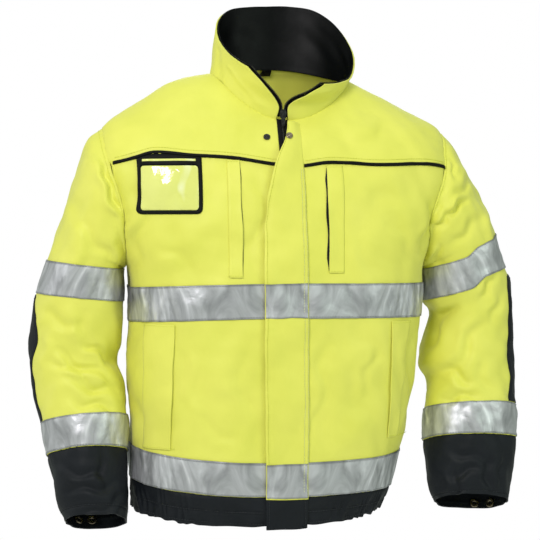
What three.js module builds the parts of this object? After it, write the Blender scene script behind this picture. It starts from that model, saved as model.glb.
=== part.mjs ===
import * as THREE from 'three';

// Hi-vis work jacket, worn shape, hollow. Millimetres, +Z up, front faces -Y.
// X = 0 is the middle of the chest, Z = 0 the level where the shoulders meet the neck.

const clothWall = 2;
const liningWall = 1.3;
const tapeWall = 0.8;
const patchWall = 1.2;
const seamGap = 0.3;
const layGap = 0.4;
const overlayGap = 0.62;
const pipeGap = 0.75;
const elbowGap = 0.85;
const quarter = Math.PI / 2;
const degree = Math.PI / 180;

// Column counts of the cloth grids
const frontColumns = 16;
const backColumns = 18;
const armColumns = 24;
const collarColumns = 26;
const cornerShare = 0.07;

// Edges of the two fronts beside the closed zip
const zipEdge = { right: -9, left: 8 };

// Body rings from neck seam to hem; right is the wearer's right (-X)
const body = table(
  's x right left y front back zRight zLeft zFront zBack power',
  [
    [0, 7, 104, 109, -6, 82, 82, 8, -2, -66, 22, 2.0],
    [1, 5, 155, 145, -5, 95, 97, -3, -19, -86, 6, 2.1],
    [2, 2, 206, 201, -4, 108, 110, -34, -45, -108, -22, 2.3],
    [3, 0, 260, 255, -4, 118, 122, -77, -77, -133, -68, 2.6],
    [4, 0, 274, 270, -5, 128, 132, -134, -135, -175, -125, 2.9],
    [5, 0, 253, 250, -5, 135, 137, -205, -205, -235, -195, 3.0],
    [6, 0, 226, 227, -6, 138, 139, -283, -283, -290, -275, 2.9],
    [7, 0, 222, 227, -6, 138, 137, -350, -352, -350, -345, 2.7],
    [8, 0, 224, 217, -6, 136, 134, -430, -430, -430, -425, 2.6],
    [9, 0, 221, 208, -6, 134, 132, -506, -508, -510, -500, 2.6],
    [10, -3, 219, 195, -5, 133, 131, -551, -565, -570, -555, 2.5],
    [11, -6, 215, 185, -5, 130, 130, -603, -620, -621, -605, 2.5],
    [12, -12, 206, 176, -5, 125, 125, -650, -652, -666, -648, 2.4],
  ],
);
const armholeTop = 3;
const armholeLow = 6;
const armholeSwing = 35 * degree;

// Edge heights of what runs round the body
const chestTop = { right: -315, left: -310, front: -307, back: -305 };
const chestLow = { right: -367, left: -362, front: -358, back: -356 };
const hemTapeRing = 10;
const hemSeamRing = 11;
const hemRing = 12;

// Piping line between yoke and front, x against z
const pipeLine = table('x z', [
  [-262, -134], [-240, -129], [-219, -123], [-191, -116], [-141, -120], [-76, -124],
  [-17, -133], [25, -135], [65, -130], [142, -133], [218, -131], [262, -137],
]);
const pipeEnd = 261;
const pipeAngle = 60;

// Sleeve rings: outer and inner point of each ring, middle y, half depth, forward tilt
const sleeveNames = 't outX outZ inX inZ y depth tilt';
const sleeves = {
  right: table(sleeveNames, [
    [0, -260, -77, -226, -283, -5, 88, 0],
    [1, -282, -95, -227, -284.5, -5, 88, 0],
    [2, -296, -126, -227.5, -285.5, -4, 88, 0],
    [3, -311, -176, -228, -286, -2, 86, 0],
    [4, -328, -226, -229, -287, 0, 83, 0],
    [5, -344, -275, -230, -288, 2, 80, 0],
    [6, -360, -325, -229, -338, 5, 77, 1],
    [7, -367, -362, -230.5, -371, 8, 75, 2],
    [8, -370, -397, -235, -404, 10, 74, 3],
    [9, -370, -430, -240, -427, 10, 73, 6],
    [10, -365, -464, -230, -460, 3, 72, 10],
    [11, -360, -494, -227, -488, -5, 69, 14],
    [12, -354, -520, -226.5, -512, -14, 66, 15.5],
    [13, -345, -567, -226.5, -563, -28, 62, 18],
    [14, -337, -612, -227, -608, -43, 58, 19],
    [15, -331, -640, -227, -640, -53, 54, 21],
    [16, -323, -661, -230, -663, -62, 49, 24],
  ]),
  left: table(sleeveNames, [
    [0, 255, -77, 227, -283, -5, 88, 0],
    [1, 272, -92, 228, -284.5, -5, 88, 0],
    [2, 289, -119, 228.5, -285.5, -4, 88, 0],
    [3, 311, -158, 229, -286, -2, 86, 0],
    [4, 336, -202, 230, -287, 0, 83, 0],
    [5, 352, -248, 232, -290, 2, 80, 0],
    [6, 369, -298, 238, -339, 5, 77, 1],
    [7, 377, -340, 253, -360, 8, 76, 2],
    [8, 380, -392, 243, -396, 10, 75, 3],
    [9, 381, -436, 236, -438, 9, 74, 6],
    [10, 382, -465, 247, -461, 4, 72, 10],
    [11, 381, -487, 243, -486, -2, 70, 13],
    [12, 380, -507, 240, -508, -8, 67, 14],
    [13, 379, -558, 235, -555, -22, 64, 15],
    [14, 371, -605, 237, -602, -33, 60, 17],
    [15, 364, -640, 242, -635, -42, 55, 19],
    [16, 361, -654, 246, -646, -47, 52, 22],
  ]),
};
const armTape = [5, 6];
const wristTape = [12, 13];
const cuffEnd = 16;
const armPower = 2.15;

// Largest folds: face 1 front, -1 back; ends in x and z, width, depth (minus sinks)
const foldNames = 'face x0 z0 x1 z1 width depth';
const bodyFolds = table(foldNames, [
  [1, -232, -120, -205, -196, 20, -3],
  [1, -214, -330, -205, -545, 14, -2],
  [1, -120, -215, -60, -235, 26, 1.5],
  [1, 120, -190, 200, -165, 26, 1.8],
  [1, -110, -440, -60, -470, 34, 2],
  [1, 90, -430, 130, -520, 30, 2],
  [1, 200, -380, 180, -540, 20, -2.5],
  [-1, -150, -150, -60, -190, 26, -3],
  [-1, 150, -150, 60, -190, 26, -3],
  [-1, -120, -420, -40, -470, 30, 2.5],
  [-1, 130, -400, 60, -480, 30, 2.5],
  [-1, -200, -330, -170, -520, 18, -2.5],
  [-1, 200, -330, 170, -520, 18, -2.5],
]);
const sleeveFolds = table(foldNames, [
  [1, -262, -128, -248, -172, 14, -4.5],
  [1, -264, -150, -226, -215, 14, -5],
  [1, -272, -140, -256, -190, 14, 4],
  [1, -246, -190, -226, -216, 14, -4],
  [1, -300, -215, -262, -262, 16, 4],
  [1, -240, -240, -232, -290, 14, -4],
  [1, -318, -445, -240, -470, 14, 3.5],
  [1, -300, -402, -246, -426, 14, -5],
  [1, -330, -415, -262, -448, 14, -4],
  [1, -350, -350, -300, -372, 14, 3],
  [1, -270, -575, -262, -640, 14, -3],
  [1, 250, -158, 228, -196, 14, -5],
  [1, 244, -187, 226, -214, 14, -5],
  [1, 290, -182, 255, -206, 14, -5],
  [1, 255, -206, 228, -242, 14, -5],
  [1, 300, -150, 262, -176, 14, 4],
  [1, 272, -120, 273, -148, 14, -3],
  [1, 300, -268, 292, -300, 14, 4.5],
  [1, 278, -352, 234, -432, 14, -6],
  [1, 300, -345, 256, -440, 14, 4.5],
  [1, 346, -305, 322, -336, 14, -3.5],
  [1, 262, -440, 300, -462, 14, 3.5],
  [1, 262, -492, 300, -482, 14, -4],
  [1, 300, -575, 318, -630, 14, 3],
  [-1, -320, -400, -245, -430, 14, -5],
  [-1, -330, -440, -250, -452, 14, 3.5],
  [-1, -270, -150, -236, -215, 14, -5],
  [-1, -300, -215, -262, -262, 14, 3.5],
  [-1, 320, -400, 240, -436, 14, -5],
  [-1, 340, -445, 255, -458, 14, 3.5],
  [-1, 275, -150, 236, -215, 14, -5],
  [-1, 310, -205, 262, -262, 14, 3.5],
]);

// Collar top edge by angle round the neck, and its two opened front edges by height
const collarTop = table('angle x y z', [
  [-185, 12, 83, 119], [-165, -25, 77, 117], [-140, -61, 59, 110], [-115, -82, 29, 91],
  [-90, -86, -8, 62], [-60, -78, -45, 38], [-30, -66, -78, 21], [-6, -52, -100, 9],
]);
const collarTopLeft = table('angle x y z', [
  [3, 62, -100, -14], [30, 92, -76, -9], [60, 116, -38, 5], [90, 126, 4, 42],
  [115, 109, 40, 84], [140, 78, 67, 111], [165, 38, 81, 119], [185, -1, 83, 119],
]);
const collarEdges = {
  right: table('v x y z', [
    [0, -9, -88, -66], [0.25, -7, -98, -47], [0.6, -28, -107, -20], [1, -52, -100, 9],
  ]),
  left: table('v x y z', [
    [0, 8, -88, -66], [0.25, 8, -98, -46], [0.6, 31, -108, -31], [1, 62, -100, -14],
  ]),
};
const collarEdgeSpan = 0.09;

// Storm flap: free edge and sewn edge by height
const flapShape = table('z free sewn lift', [
  [-72, 6, 25, 6], [-86, 4, 25, 7], [-101, -1.6, 25, 7.6], [-112, -7.5, 25, 7.4], [-124, -13, 25.5, 7],
  [-144, -21, 26, 6.3], [-176, -29, 26.5, 5.8], [-213, -33.5, 27, 5.4], [-250, -36, 28, 5],
  [-306, -36, 29, 4.6], [-420, -35, 30, 4.4], [-569, -33, 30, 4.4], [-670, -32, 30, 4.4],
]);
const flapSewnLift = 2;
const flapWall = 2.4;
const flapEnd = -672;
const flapHem = -624;

// Pocket welts: slit and sewn edge at top and bottom (x), top and bottom z, slit lift
const pockets = table('name slit slitLow sewn sewnLow top low lift', [
  ['chest_pocket_right', -69, -67, -88, -87, -127.5, -298, 1.4],
  ['chest_pocket_left', 60, 61, 84, 84, -135, -292, 1.8],
  ['side_pocket_right', -163, -169, -207, -207, -367, -552, 1.6],
  ['side_pocket_left', 159, 156, 194, 173, -365, -540, 1.8],
]);

// Identity card holder on the right chest
const card = {
  outer: { x0: -218, x1: -124, z0: -206, z1: -118, radius: 8 },
  inner: { x0: -213, x1: -129.5, z0: -200.5, z1: -135.5, radius: 5 },
  frame: 2,
  window: 0.8,
};

function table(names, rows) {
  const keys = names.split(' ');
  return rows.map((row) => Object.fromEntries(keys.map((key, i) => [key, row[i]])));
}

// Smooth value of every column where the first one equals t
function readRow(rows, t) {
  const names = Object.keys(rows[0]);
  const key = names[0];
  let i = 0;
  while (i < rows.length - 2 && rows[i + 1][key] < t) i += 1;
  const before = rows[Math.max(i - 1, 0)];
  const from = rows[i];
  const to = rows[i + 1];
  const after = rows[Math.min(i + 2, rows.length - 1)];
  const span = to[key] - from[key];
  const w = (t - from[key]) / span;
  const out = {};
  for (const name of names) {
    const m0 = ((to[name] - before[name]) / (to[key] - before[key])) * span;
    const m1 = ((after[name] - from[name]) / (after[key] - from[key])) * span;
    const rise = to[name] - from[name];
    out[name] = from[name] + w * (m0 + w * (3 * rise - 2 * m0 - m1 + w * (m0 + m1 - 2 * rise)));
  }
  return out;
}

// Row read from a falling key such as a height
function readFalling(rows, z) {
  const keyed = rows.map((row) => ({ ...row, z: -row.z }));
  return readRow(keyed, -z);
}

function smooth(low, high, value) {
  const w = Math.min(1, Math.max(0, (value - low) / (high - low)));
  return w * w * (3 - 2 * w);
}

function mix(a, b, w) {
  return a + (b - a) * w;
}

// Push of the large folds at a point whose outward direction is known
function foldPush(folds, point, facing) {
  let push = 0;
  for (const fold of folds) {
    const weight = smooth(0.05, 0.6, -facing * fold.face);
    if (weight === 0) continue;
    const dx = fold.x1 - fold.x0;
    const dz = fold.z1 - fold.z0;
    const length = dx * dx + dz * dz;
    const along = ((point.x - fold.x0) * dx + (point.z - fold.z0) * dz) / length;
    const held = Math.min(1, Math.max(0, along));
    const distance = Math.hypot(point.x - fold.x0 - held * dx, point.z - fold.z0 - held * dz);
    const reach = distance / fold.width;
    if (reach < 3) push += fold.depth * weight * Math.exp(-reach * reach);
  }
  return push;
}

// Body surface: a is the angle from the front middle towards the wearer's left, s the ring
function bodyPoint(a, s) {
  const ring = readRow(body, s);
  const c = Math.cos(a);
  const k = Math.sin(a);
  const reach = (Math.abs(c) ** ring.power + Math.abs(k) ** ring.power) ** (-1 / ring.power);
  const side = k < 0 ? 'right' : 'left';
  const sideZ = k < 0 ? ring.zRight : ring.zLeft;
  const endZ = c > 0 ? ring.zFront : ring.zBack;
  const depth = c > 0 ? ring.front : ring.back;
  const point = new THREE.Vector3(
    ring.x + ring[side] * k * reach,
    ring.y - depth * c * reach,
    sideZ + (endZ - sideZ) * c * c,
  );
  const out = new THREE.Vector3(k / ring[side], -c / depth, 0).normalize();
  return point.addScaledVector(out, foldPush(bodyFolds, point, out.y));
}

// Angle beside the middle where the body ring stands at a given x
function angleAtX(x, s) {
  const ring = readRow(body, s);
  const half = x < ring.x ? ring.right : ring.left;
  return Math.atan((x - ring.x) / half);
}

function surfaceNormal(surface, p, q, stepP, stepQ) {
  const dp = surface(p + stepP, q).sub(surface(p - stepP, q));
  const dq = surface(p, q + stepQ).sub(surface(p, q - stepQ));
  return dp.cross(dq).normalize();
}

function bodyNormal(a, s) {
  const low = Math.max(s, 0.02);
  const normal = surfaceNormal(bodyPoint, a, Math.min(low, hemRing - 0.02), 0.01, 0.02);
  return normal.negate();
}

// Ring number where a body line at angle a meets a height rule
function ringWhere(a, height, low = 0, high = hemRing) {
  let from = low;
  let to = high;
  for (let i = 0; i < 30; i += 1) {
    const middle = (from + to) / 2;
    const point = bodyPoint(a, middle);
    if (point.z > height(point)) from = middle;
    else to = middle;
  }
  return (from + to) / 2;
}

function levelRing(a, level) {
  const c = Math.cos(a);
  const side = Math.sin(a) < 0 ? level.right : level.left;
  const end = c > 0 ? level.front : level.back;
  return ringWhere(a, () => side + (end - side) * c * c);
}

// Flat faces of the fronts, so that what lies on them follows their real faces
const frontFaces = [];

function gatherFaces(grid) {
  for (let j = 0; j < grid.length - 1; j += 1) {
    for (let i = 0; i < grid[j].length - 1; i += 1) {
      const [a, b, c, d] = [grid[j][i], grid[j + 1][i], grid[j + 1][i + 1], grid[j][i + 1]];
      frontFaces.push([a, b, c], [a, c, d]);
    }
  }
}

// Point and normal of the front where it shows at x and z
function onFront(x, z) {
  let best = null;
  for (const [a, b, c] of frontFaces) {
    const [p, q, r] = [a.point, b.point, c.point];
    const area = (q.x - p.x) * (r.z - p.z) - (r.x - p.x) * (q.z - p.z);
    if (Math.abs(area) < 1e-6) continue;
    const wq = ((x - p.x) * (r.z - p.z) - (r.x - p.x) * (z - p.z)) / area;
    const wr = ((q.x - p.x) * (z - p.z) - (x - p.x) * (q.z - p.z)) / area;
    const inside = Math.min(wq, wr, 1 - wq - wr);
    if (best && inside <= best.inside) continue;
    best = { inside, faces: [a, b, c], weights: [1 - wq - wr, wq, wr] };
    if (inside >= 0) break;
  }
  const point = new THREE.Vector3();
  const normal = new THREE.Vector3();
  best.faces.forEach((corner, n) => {
    point.addScaledVector(corner.point, best.weights[n]);
    normal.addScaledVector(corner.normal, best.weights[n]);
  });
  return { point, normal: normal.normalize() };
}

// Armhole: phi 0 is the shoulder tip, 90 degrees the front, 180 the underarm
function armholeAngle(side, phi) {
  const sign = side === 'right' ? -1 : 1;
  return sign * (quarter - armholeSwing * Math.sin(phi));
}

function armholeRing(phi) {
  const middle = (armholeTop + armholeLow) / 2;
  return middle - (middle - armholeTop) * Math.cos(phi);
}

function armholePoint(side, phi) {
  return bodyPoint(armholeAngle(side, phi), armholeRing(phi));
}

function sleeveRing(side, t, phi) {
  const ring = readRow(sleeves[side], t);
  const c = Math.cos(phi);
  const k = Math.sin(phi);
  const reach = (Math.abs(c) ** armPower + Math.abs(k) ** armPower) ** (-1 / armPower);
  const tilt = ring.tilt * degree;
  const middle = new THREE.Vector3((ring.outX + ring.inX) / 2, ring.y, (ring.outZ + ring.inZ) / 2);
  const across = new THREE.Vector3((ring.outX - ring.inX) / 2, 0, (ring.outZ - ring.inZ) / 2);
  const forward = new THREE.Vector3(0, -Math.cos(tilt), Math.sin(tilt)).multiplyScalar(ring.depth);
  const arm = across.multiplyScalar(c * reach).addScaledVector(forward, k * reach);
  return { point: middle.clone().add(arm), out: arm.clone().normalize() };
}

// Sleeve surface: t the ring from armhole to cuff, phi 0 outside, 90 degrees front
function sleevePoint(side, t, phi) {
  const { point, out } = sleeveRing(side, t, phi);
  const near = 1 - smooth(0, 1.6, t);
  if (near > 0) {
    const seam = armholePoint(side, phi).sub(sleeveRing(side, 0, phi).point);
    point.addScaledVector(seam, near);
  }
  const push = foldPush(sleeveFolds, point, out.y) * smooth(0, 1, t);
  return point.addScaledVector(out, push);
}

function sleeveNormal(side, t, phi) {
  const from = Math.min(Math.max(t, 0.12), cuffEnd - 0.12);
  const surface = (p, q) => sleevePoint(side, p, q);
  const normal = surfaceNormal(surface, from, phi, 0.12, 0.08);
  return side === 'left' ? normal.negate() : normal;
}

// Shared wall direction where sleeve and body meet, so both walls end side by side
function seamNormal(own, other) {
  const share = smooth(0, 0.6, own.dot(other));
  return own.clone().addScaledVector(other, share).normalize();
}

// A cell of a cloth grid: point on the surface, normal, wall from low to high along it
function cell(point, normal, low, high) {
  return { point, normal, low, high };
}

// Pull the border of a grid back into it by half a seam gap
function trimmed(grid, sides) {
  const out = grid.map((row) => row.map((c) => ({ ...c, point: c.point.clone() })));
  const last = grid.length - 1;
  const end = grid[0].length - 1;
  const pull = (j, i, jn, in_) => {
    const step = grid[jn][in_].point.clone().sub(grid[j][i].point).normalize();
    out[j][i].point.addScaledVector(step, seamGap * 0.55);
  };
  for (let i = 0; i <= end; i += 1) {
    if (sides.includes('top')) pull(0, i, 1, i);
    if (sides.includes('low')) pull(last, i, last - 1, i);
  }
  for (let j = 0; j <= last; j += 1) {
    if (sides.includes('start')) pull(j, 0, j, 1);
    if (sides.includes('end')) pull(j, end, j, end - 1);
  }
  return out;
}

// Closed solid between the two offset faces of a grid
function wallSolid(grid, round = false) {
  const rows = grid.length;
  const columns = grid[0].length;
  const positions = [];
  for (const level of ['high', 'low']) {
    for (const row of grid) {
      for (const c of row) {
        const p = c.point.clone().addScaledVector(c.normal, c[level]);
        positions.push(p.x, p.y, p.z);
      }
    }
  }
  const inner = rows * columns;
  const index = [];
  const face = (a, b, c, d) => index.push(a, b, c, a, c, d);
  const spans = round ? columns : columns - 1;
  const at = (j, i) => j * columns + (i % columns);
  for (let j = 0; j < rows - 1; j += 1) {
    for (let i = 0; i < spans; i += 1) {
      face(at(j, i), at(j + 1, i), at(j + 1, i + 1), at(j, i + 1));
      face(inner + at(j, i), inner + at(j, i + 1), inner + at(j + 1, i + 1), inner + at(j + 1, i));
    }
  }
  for (let i = 0; i < spans; i += 1) {
    face(at(0, i), at(0, i + 1), inner + at(0, i + 1), inner + at(0, i));
    face(at(rows - 1, i + 1), at(rows - 1, i), inner + at(rows - 1, i), inner + at(rows - 1, i + 1));
  }
  if (!round) {
    for (let j = 0; j < rows - 1; j += 1) {
      face(at(j + 1, 0), at(j, 0), inner + at(j, 0), inner + at(j + 1, 0));
      const [top, low] = [at(j, columns - 1), at(j + 1, columns - 1)];
      face(top, low, inner + low, inner + top);
    }
  }
  const geometry = new THREE.BufferGeometry();
  geometry.setAttribute('position', new THREE.Float32BufferAttribute(positions, 3));
  geometry.setIndex(index);
  return facingOut(geometry);
}

function signedVolume(geometry) {
  const p = geometry.attributes.position;
  const order = geometry.index.array;
  const corner = [0, 1, 2].map(() => new THREE.Vector3());
  let sum = 0;
  for (let i = 0; i < order.length; i += 3) {
    corner.forEach((c, n) => c.fromBufferAttribute(p, order[i + n]));
    sum += corner[0].dot(corner[1].clone().cross(corner[2])) / 6;
  }
  return sum;
}

function facingOut(geometry) {
  if (signedVolume(geometry) < 0) {
    const order = geometry.index.array;
    for (let i = 0; i < order.length; i += 3) [order[i], order[i + 1]] = [order[i + 1], order[i]];
  }
  geometry.computeVertexNormals();
  return geometry;
}

// Materials and node list
const finishes = {
  yellow: { color: 0xe3f032, roughness: 0.8, metalness: 0 },
  dark: { color: 0x1b2229, roughness: 0.85, metalness: 0 },
  lining: { color: 0x14181d, roughness: 0.6, metalness: 0 },
  tape: { color: 0xb4b6ba, roughness: 0.45, metalness: 0.1 },
  window: { color: 0xeef0dc, roughness: 0.1, metalness: 0 },
  metal: { color: 0x6a625a, roughness: 0.4, metalness: 0.9 },
  plastic: { color: 0x17191c, roughness: 0.5, metalness: 0 },
};
const group = new THREE.Group();
group.name = 'hi_vis_work_jacket';

function add(name, geometry, finish) {
  const mesh = new THREE.Mesh(geometry, new THREE.MeshStandardMaterial(finishes[finish]));
  mesh.name = name;
  group.add(mesh);
}

const sign = { right: -1, left: 1 };
const halfTurn = Math.PI;
const armStep = (2 * Math.PI) / armColumns;

function backEdgeAngle(side, phi) {
  return sign[side] * (quarter + armholeSwing * Math.sin(phi));
}

function edgeNormal(side, phi) {
  const own = bodyNormal(armholeAngle(side, phi), armholeRing(phi));
  return seamNormal(own, sleeveNormal(side, 0, phi));
}

// Rows of the body grids: edge ring and armhole angle at the side, ring rule inside
function pipeRing(a) {
  const held = (x) => Math.min(pipeEnd, Math.max(-pipeEnd, x));
  return ringWhere(a, (p) => readRow(pipeLine, held(p.x)).z);
}

// Seam row between yoke and front, brought to the armhole point it ends at
function seamRing(a, side, u) {
  const phi = pipeAngle * degree;
  return pipeRing(a) + (armholeRing(phi) - pipeRing(armholeAngle(side, phi))) * u ** 4;
}

const shoulderRings = [0, 0.75, 1.5, 2.25, 3];
const yokeRows = [
  ...shoulderRings.map((s) => ({ edge: s, phi: 0 })),
  ...[15, 30, 45, 60].map((d) => ({ edge: armholeRing(d * degree), phi: d * degree })),
];
const armRows = [60, 75, 90, 105, 120, 135, 150, 165, 180]
  .map((d) => ({ edge: armholeRing(d * degree), phi: d * degree }));
const lowerSteps = [0, 0.16, 0.32, 0.48, 0.64, 0.82, 1];

function frontCell(side, a, s, phi, u) {
  const normal = phi > 0 && phi < halfTurn && u === 1 ? edgeNormal(side, phi) : bodyNormal(a, s);
  return cell(bodyPoint(a, s), normal, -clothWall, 0);
}

// One row of a front grid from the zip edge to the side
function frontRow(side, edgeAngle, ringAt, phi = 0) {
  const row = [];
  for (let i = 0; i <= frontColumns; i += 1) {
    const u = i / frontColumns;
    const start = angleAtX(zipEdge[side], ringAt(0, 0));
    const a = mix(start, edgeAngle, u + cornerShare * Math.sin(2 * Math.PI * u));
    row.push(frontCell(side, a, ringAt(a, u), phi, u));
  }
  return row;
}

function yokeGrid(side) {
  const last = yokeRows.length - 1;
  return yokeRows.map(({ edge, phi }, k) => {
    const inner = (a, u) => mix((pipeRing(a) * k) / last, edge, u * u);
    const ringAt = k === last ? (a, u) => seamRing(a, side, u) : inner;
    return frontRow(side, armholeAngle(side, phi), ringAt, phi);
  });
}

function frontGrid(side) {
  const last = armRows.length - 1;
  const grid = armRows.map(({ edge, phi }, k) => {
    const inner = (a, u) => mix(mix(pipeRing(a), armholeLow, k / last), edge, u * u);
    const ringAt = k === 0 ? (a, u) => seamRing(a, side, u) : inner;
    return frontRow(side, armholeAngle(side, phi), ringAt, phi === halfTurn ? 0 : phi);
  });
  const edge = sign[side] * quarter;
  const top = (a) => levelRing(a, chestTop);
  const low = (a) => levelRing(a, chestLow);
  grid.push(frontRow(side, edge, top));
  grid.push(frontRow(side, edge, (a) => (top(a) + low(a)) / 2));
  for (const w of lowerSteps) grid.push(frontRow(side, edge, (a) => mix(low(a), hemTapeRing, w)));
  grid.push(frontRow(side, edge, () => (hemTapeRing + hemSeamRing) / 2));
  grid.push(frontRow(side, edge, () => hemSeamRing));
  return grid;
}

const chestRows = [armRows.length, armRows.length + 3];
const hemStart = armRows.length + lowerSteps.length + 1;
const hemRows = [hemStart, hemStart + 3];

// One row of the back grid from the wearer's left side round to the right
function backRow(leftAngle, rightAngle, ringAt, phi = 0) {
  const row = [];
  for (let i = 0; i <= backColumns; i += 1) {
    const u = i / backColumns;
    const a = mix(leftAngle, rightAngle + 2 * Math.PI, u);
    const s = ringAt(a, u);
    const side = u < 0.5 ? 'left' : 'right';
    const seam = phi > 0 && (i === 0 || i === backColumns);
    row.push(cell(bodyPoint(a, s), seam ? edgeNormal(side, -phi) : bodyNormal(a, s), -clothWall, 0));
  }
  return row;
}

function backGrid() {
  const rows = [...yokeRows, ...armRows.slice(1)];
  const last = rows.length - 1;
  const grid = rows.map(({ edge, phi }, k) => {
    const inside = k / last;
    const outside = edge / armholeLow;
    const ringAt = (a, u) => armholeLow * mix(inside, outside, (2 * u - 1) ** 2);
    const seamPhi = phi === halfTurn ? 0 : phi;
    return backRow(backEdgeAngle('left', phi), backEdgeAngle('right', phi), ringAt, seamPhi);
  });
  const top = (a) => levelRing(a, chestTop);
  const low = (a) => levelRing(a, chestLow);
  grid.push(backRow(quarter, -quarter, top));
  grid.push(backRow(quarter, -quarter, (a) => (top(a) + low(a)) / 2));
  for (const w of lowerSteps) grid.push(backRow(quarter, -quarter, (a) => mix(low(a), hemTapeRing, w)));
  grid.push(backRow(quarter, -quarter, () => (hemTapeRing + hemSeamRing) / 2));
  grid.push(backRow(quarter, -quarter, () => hemSeamRing));
  return grid;
}

// What lies on a grid is made from its cells, moved out
function laidOn(grid, gap, wall) {
  return grid.map((row) => row.map((c) => cell(c.point, c.normal, gap, gap + wall)));
}

function addTape(name, grid) {
  add(name, wallSolid(trimmed(laidOn(grid, layGap, tapeWall), ['start', 'end'])), 'tape');
}

const grids = {};
for (const side of ['right', 'left']) {
  grids[`yoke_${side}`] = yokeGrid(side);
  grids[`front_${side}`] = frontGrid(side);
  add(`yoke_${side}`, wallSolid(trimmed(grids[`yoke_${side}`], ['top', 'low', 'end'])), 'yellow');
  add(`front_${side}`, wallSolid(trimmed(grids[`front_${side}`], ['top', 'low', 'end'])), 'yellow');
}
const back = backGrid();
add('back', wallSolid(trimmed(back, ['top', 'low', 'start', 'end'])), 'yellow');

for (const side of ['right', 'left']) {
  const front = grids[`front_${side}`];
  addTape(`tape_chest_${side}`, front.slice(...chestRows));
  addTape(`tape_hem_${side}`, front.slice(...hemRows));
}
const backShift = yokeRows.length - 1;
const onBack = (rows) => back.slice(rows[0] + backShift, rows[1] + backShift);
addTape('tape_chest_back', onBack(chestRows));
addTape('tape_hem_back', onBack(hemRows));

// Hem band
const hemSteps = [hemSeamRing, 11.35, 11.7, hemRing];
for (const side of ['right', 'left']) {
  grids[`hem_${side}`] = hemSteps.map((s) => frontRow(side, sign[side] * quarter, () => s));
  add(`hem_band_${side}`, wallSolid(trimmed(grids[`hem_${side}`], ['top', 'end'])), 'dark');
}
for (const kind of ['yoke', 'front', 'hem']) {
  const [right, left] = [grids[`${kind}_right`], grids[`${kind}_left`]];
  gatherFaces(right);
  gatherFaces(left);
  gatherFaces(right.map((row, j) => [row[0], left[j][0]]));
}
const hemBack = hemSteps.map((s) => backRow(quarter, -quarter, () => s));
add('hem_band_back', wallSolid(trimmed(hemBack, ['top', 'start', 'end'])), 'dark');

// Sleeves, cuffs, tape rings and elbow panels
const sleeveSteps = [0, 0.5, 1, 2, 3, 4, 5, 6, 7, 8, 9, 10, 11, 12, 13];
const cuffSteps = [13, 14, 15, 15.6, 16];
const elbowSpan = {
  right: table('t front back', [
    [6.1, 8, -74], [7, 24, -82], [8, 29, -88], [9, 22, -89], [10, 18, -88], [11, 17, -84], [12, 17, -80],
  ]),
  left: table('t front back', [
    [6, 38, -78], [7, 44, -82], [8, 44, -84], [9, 44, -86], [10, 44, -84], [11, 44, -82], [12, 44, -80],
  ]),
};
const elbowLines = { right: [-75, -60, -45, -30, -15, 0, 15], left: [-75, -60, -45, -30, -15, 0, 15, 30] };

function sleeveCell(side, t, phi) {
  const own = sleeveNormal(side, t, phi);
  const seam = t === 0 ? seamNormal(own, bodyNormal(armholeAngle(side, phi), armholeRing(phi))) : own;
  return cell(sleevePoint(side, t, phi), seam, -clothWall, 0);
}

function sleeveGrid(side, steps) {
  return steps.map((t) => {
    const row = [];
    for (let i = 0; i < armColumns; i += 1) row.push(sleeveCell(side, t, i * armStep));
    return row;
  });
}

// Patch cell on the flat faces of a sleeve grid
function onSleeve(grid, t, phi) {
  const j = sleeveSteps.findIndex((step) => step >= t) - 1;
  const v = (t - sleeveSteps[j]) / (sleeveSteps[j + 1] - sleeveSteps[j]);
  const turns = phi / armStep + armColumns;
  const i = Math.floor(turns);
  const u = turns - i;
  const point = new THREE.Vector3();
  const normal = new THREE.Vector3();
  for (const [row, column, weight] of [
    [j, i, (1 - v) * (1 - u)], [j, i + 1, (1 - v) * u], [j + 1, i, v * (1 - u)], [j + 1, i + 1, v * u],
  ]) {
    const corner = grid[row][column % armColumns];
    point.addScaledVector(corner.point, weight);
    normal.addScaledVector(corner.normal, weight);
  }
  return cell(point, normal.normalize(), elbowGap, elbowGap + patchWall);
}

for (const side of ['right', 'left']) {
  const sleeve = sleeveGrid(side, sleeveSteps);
  add(`sleeve_${side}`, wallSolid(trimmed(sleeve, ['top', 'low']), true), 'yellow');
  add(`cuff_${side}`, wallSolid(trimmed(sleeveGrid(side, cuffSteps), ['top']), true), 'dark');
  for (const [name, span] of [['arm', armTape], ['wrist', wristTape]]) {
    const from = sleeveSteps.indexOf(span[0]);
    const to = sleeveSteps.indexOf(span[1]) + 1;
    add(`tape_${name}_${side}`, wallSolid(laidOn(sleeve.slice(from, to), layGap, tapeWall), true), 'tape');
  }
  const spans = elbowSpan[side];
  const steps = [spans[0].t + 0.05, 6.55, 7, 8, 9, 10, 11, 11.95];
  const elbow = steps.map((t) => {
    const span = readRow(spans, t);
    const row = [];
    for (const line of elbowLines[side]) {
      const phi = Math.min(span.front - 1, Math.max(span.back + 1, line));
      row.push(onSleeve(sleeve, t, phi * degree));
    }
    row.unshift(onSleeve(sleeve, t, span.back * degree));
    row.push(onSleeve(sleeve, t, span.front * degree));
    return row;
  });
  add(`elbow_panel_${side}`, wallSolid(elbow), 'dark');
}

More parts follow.
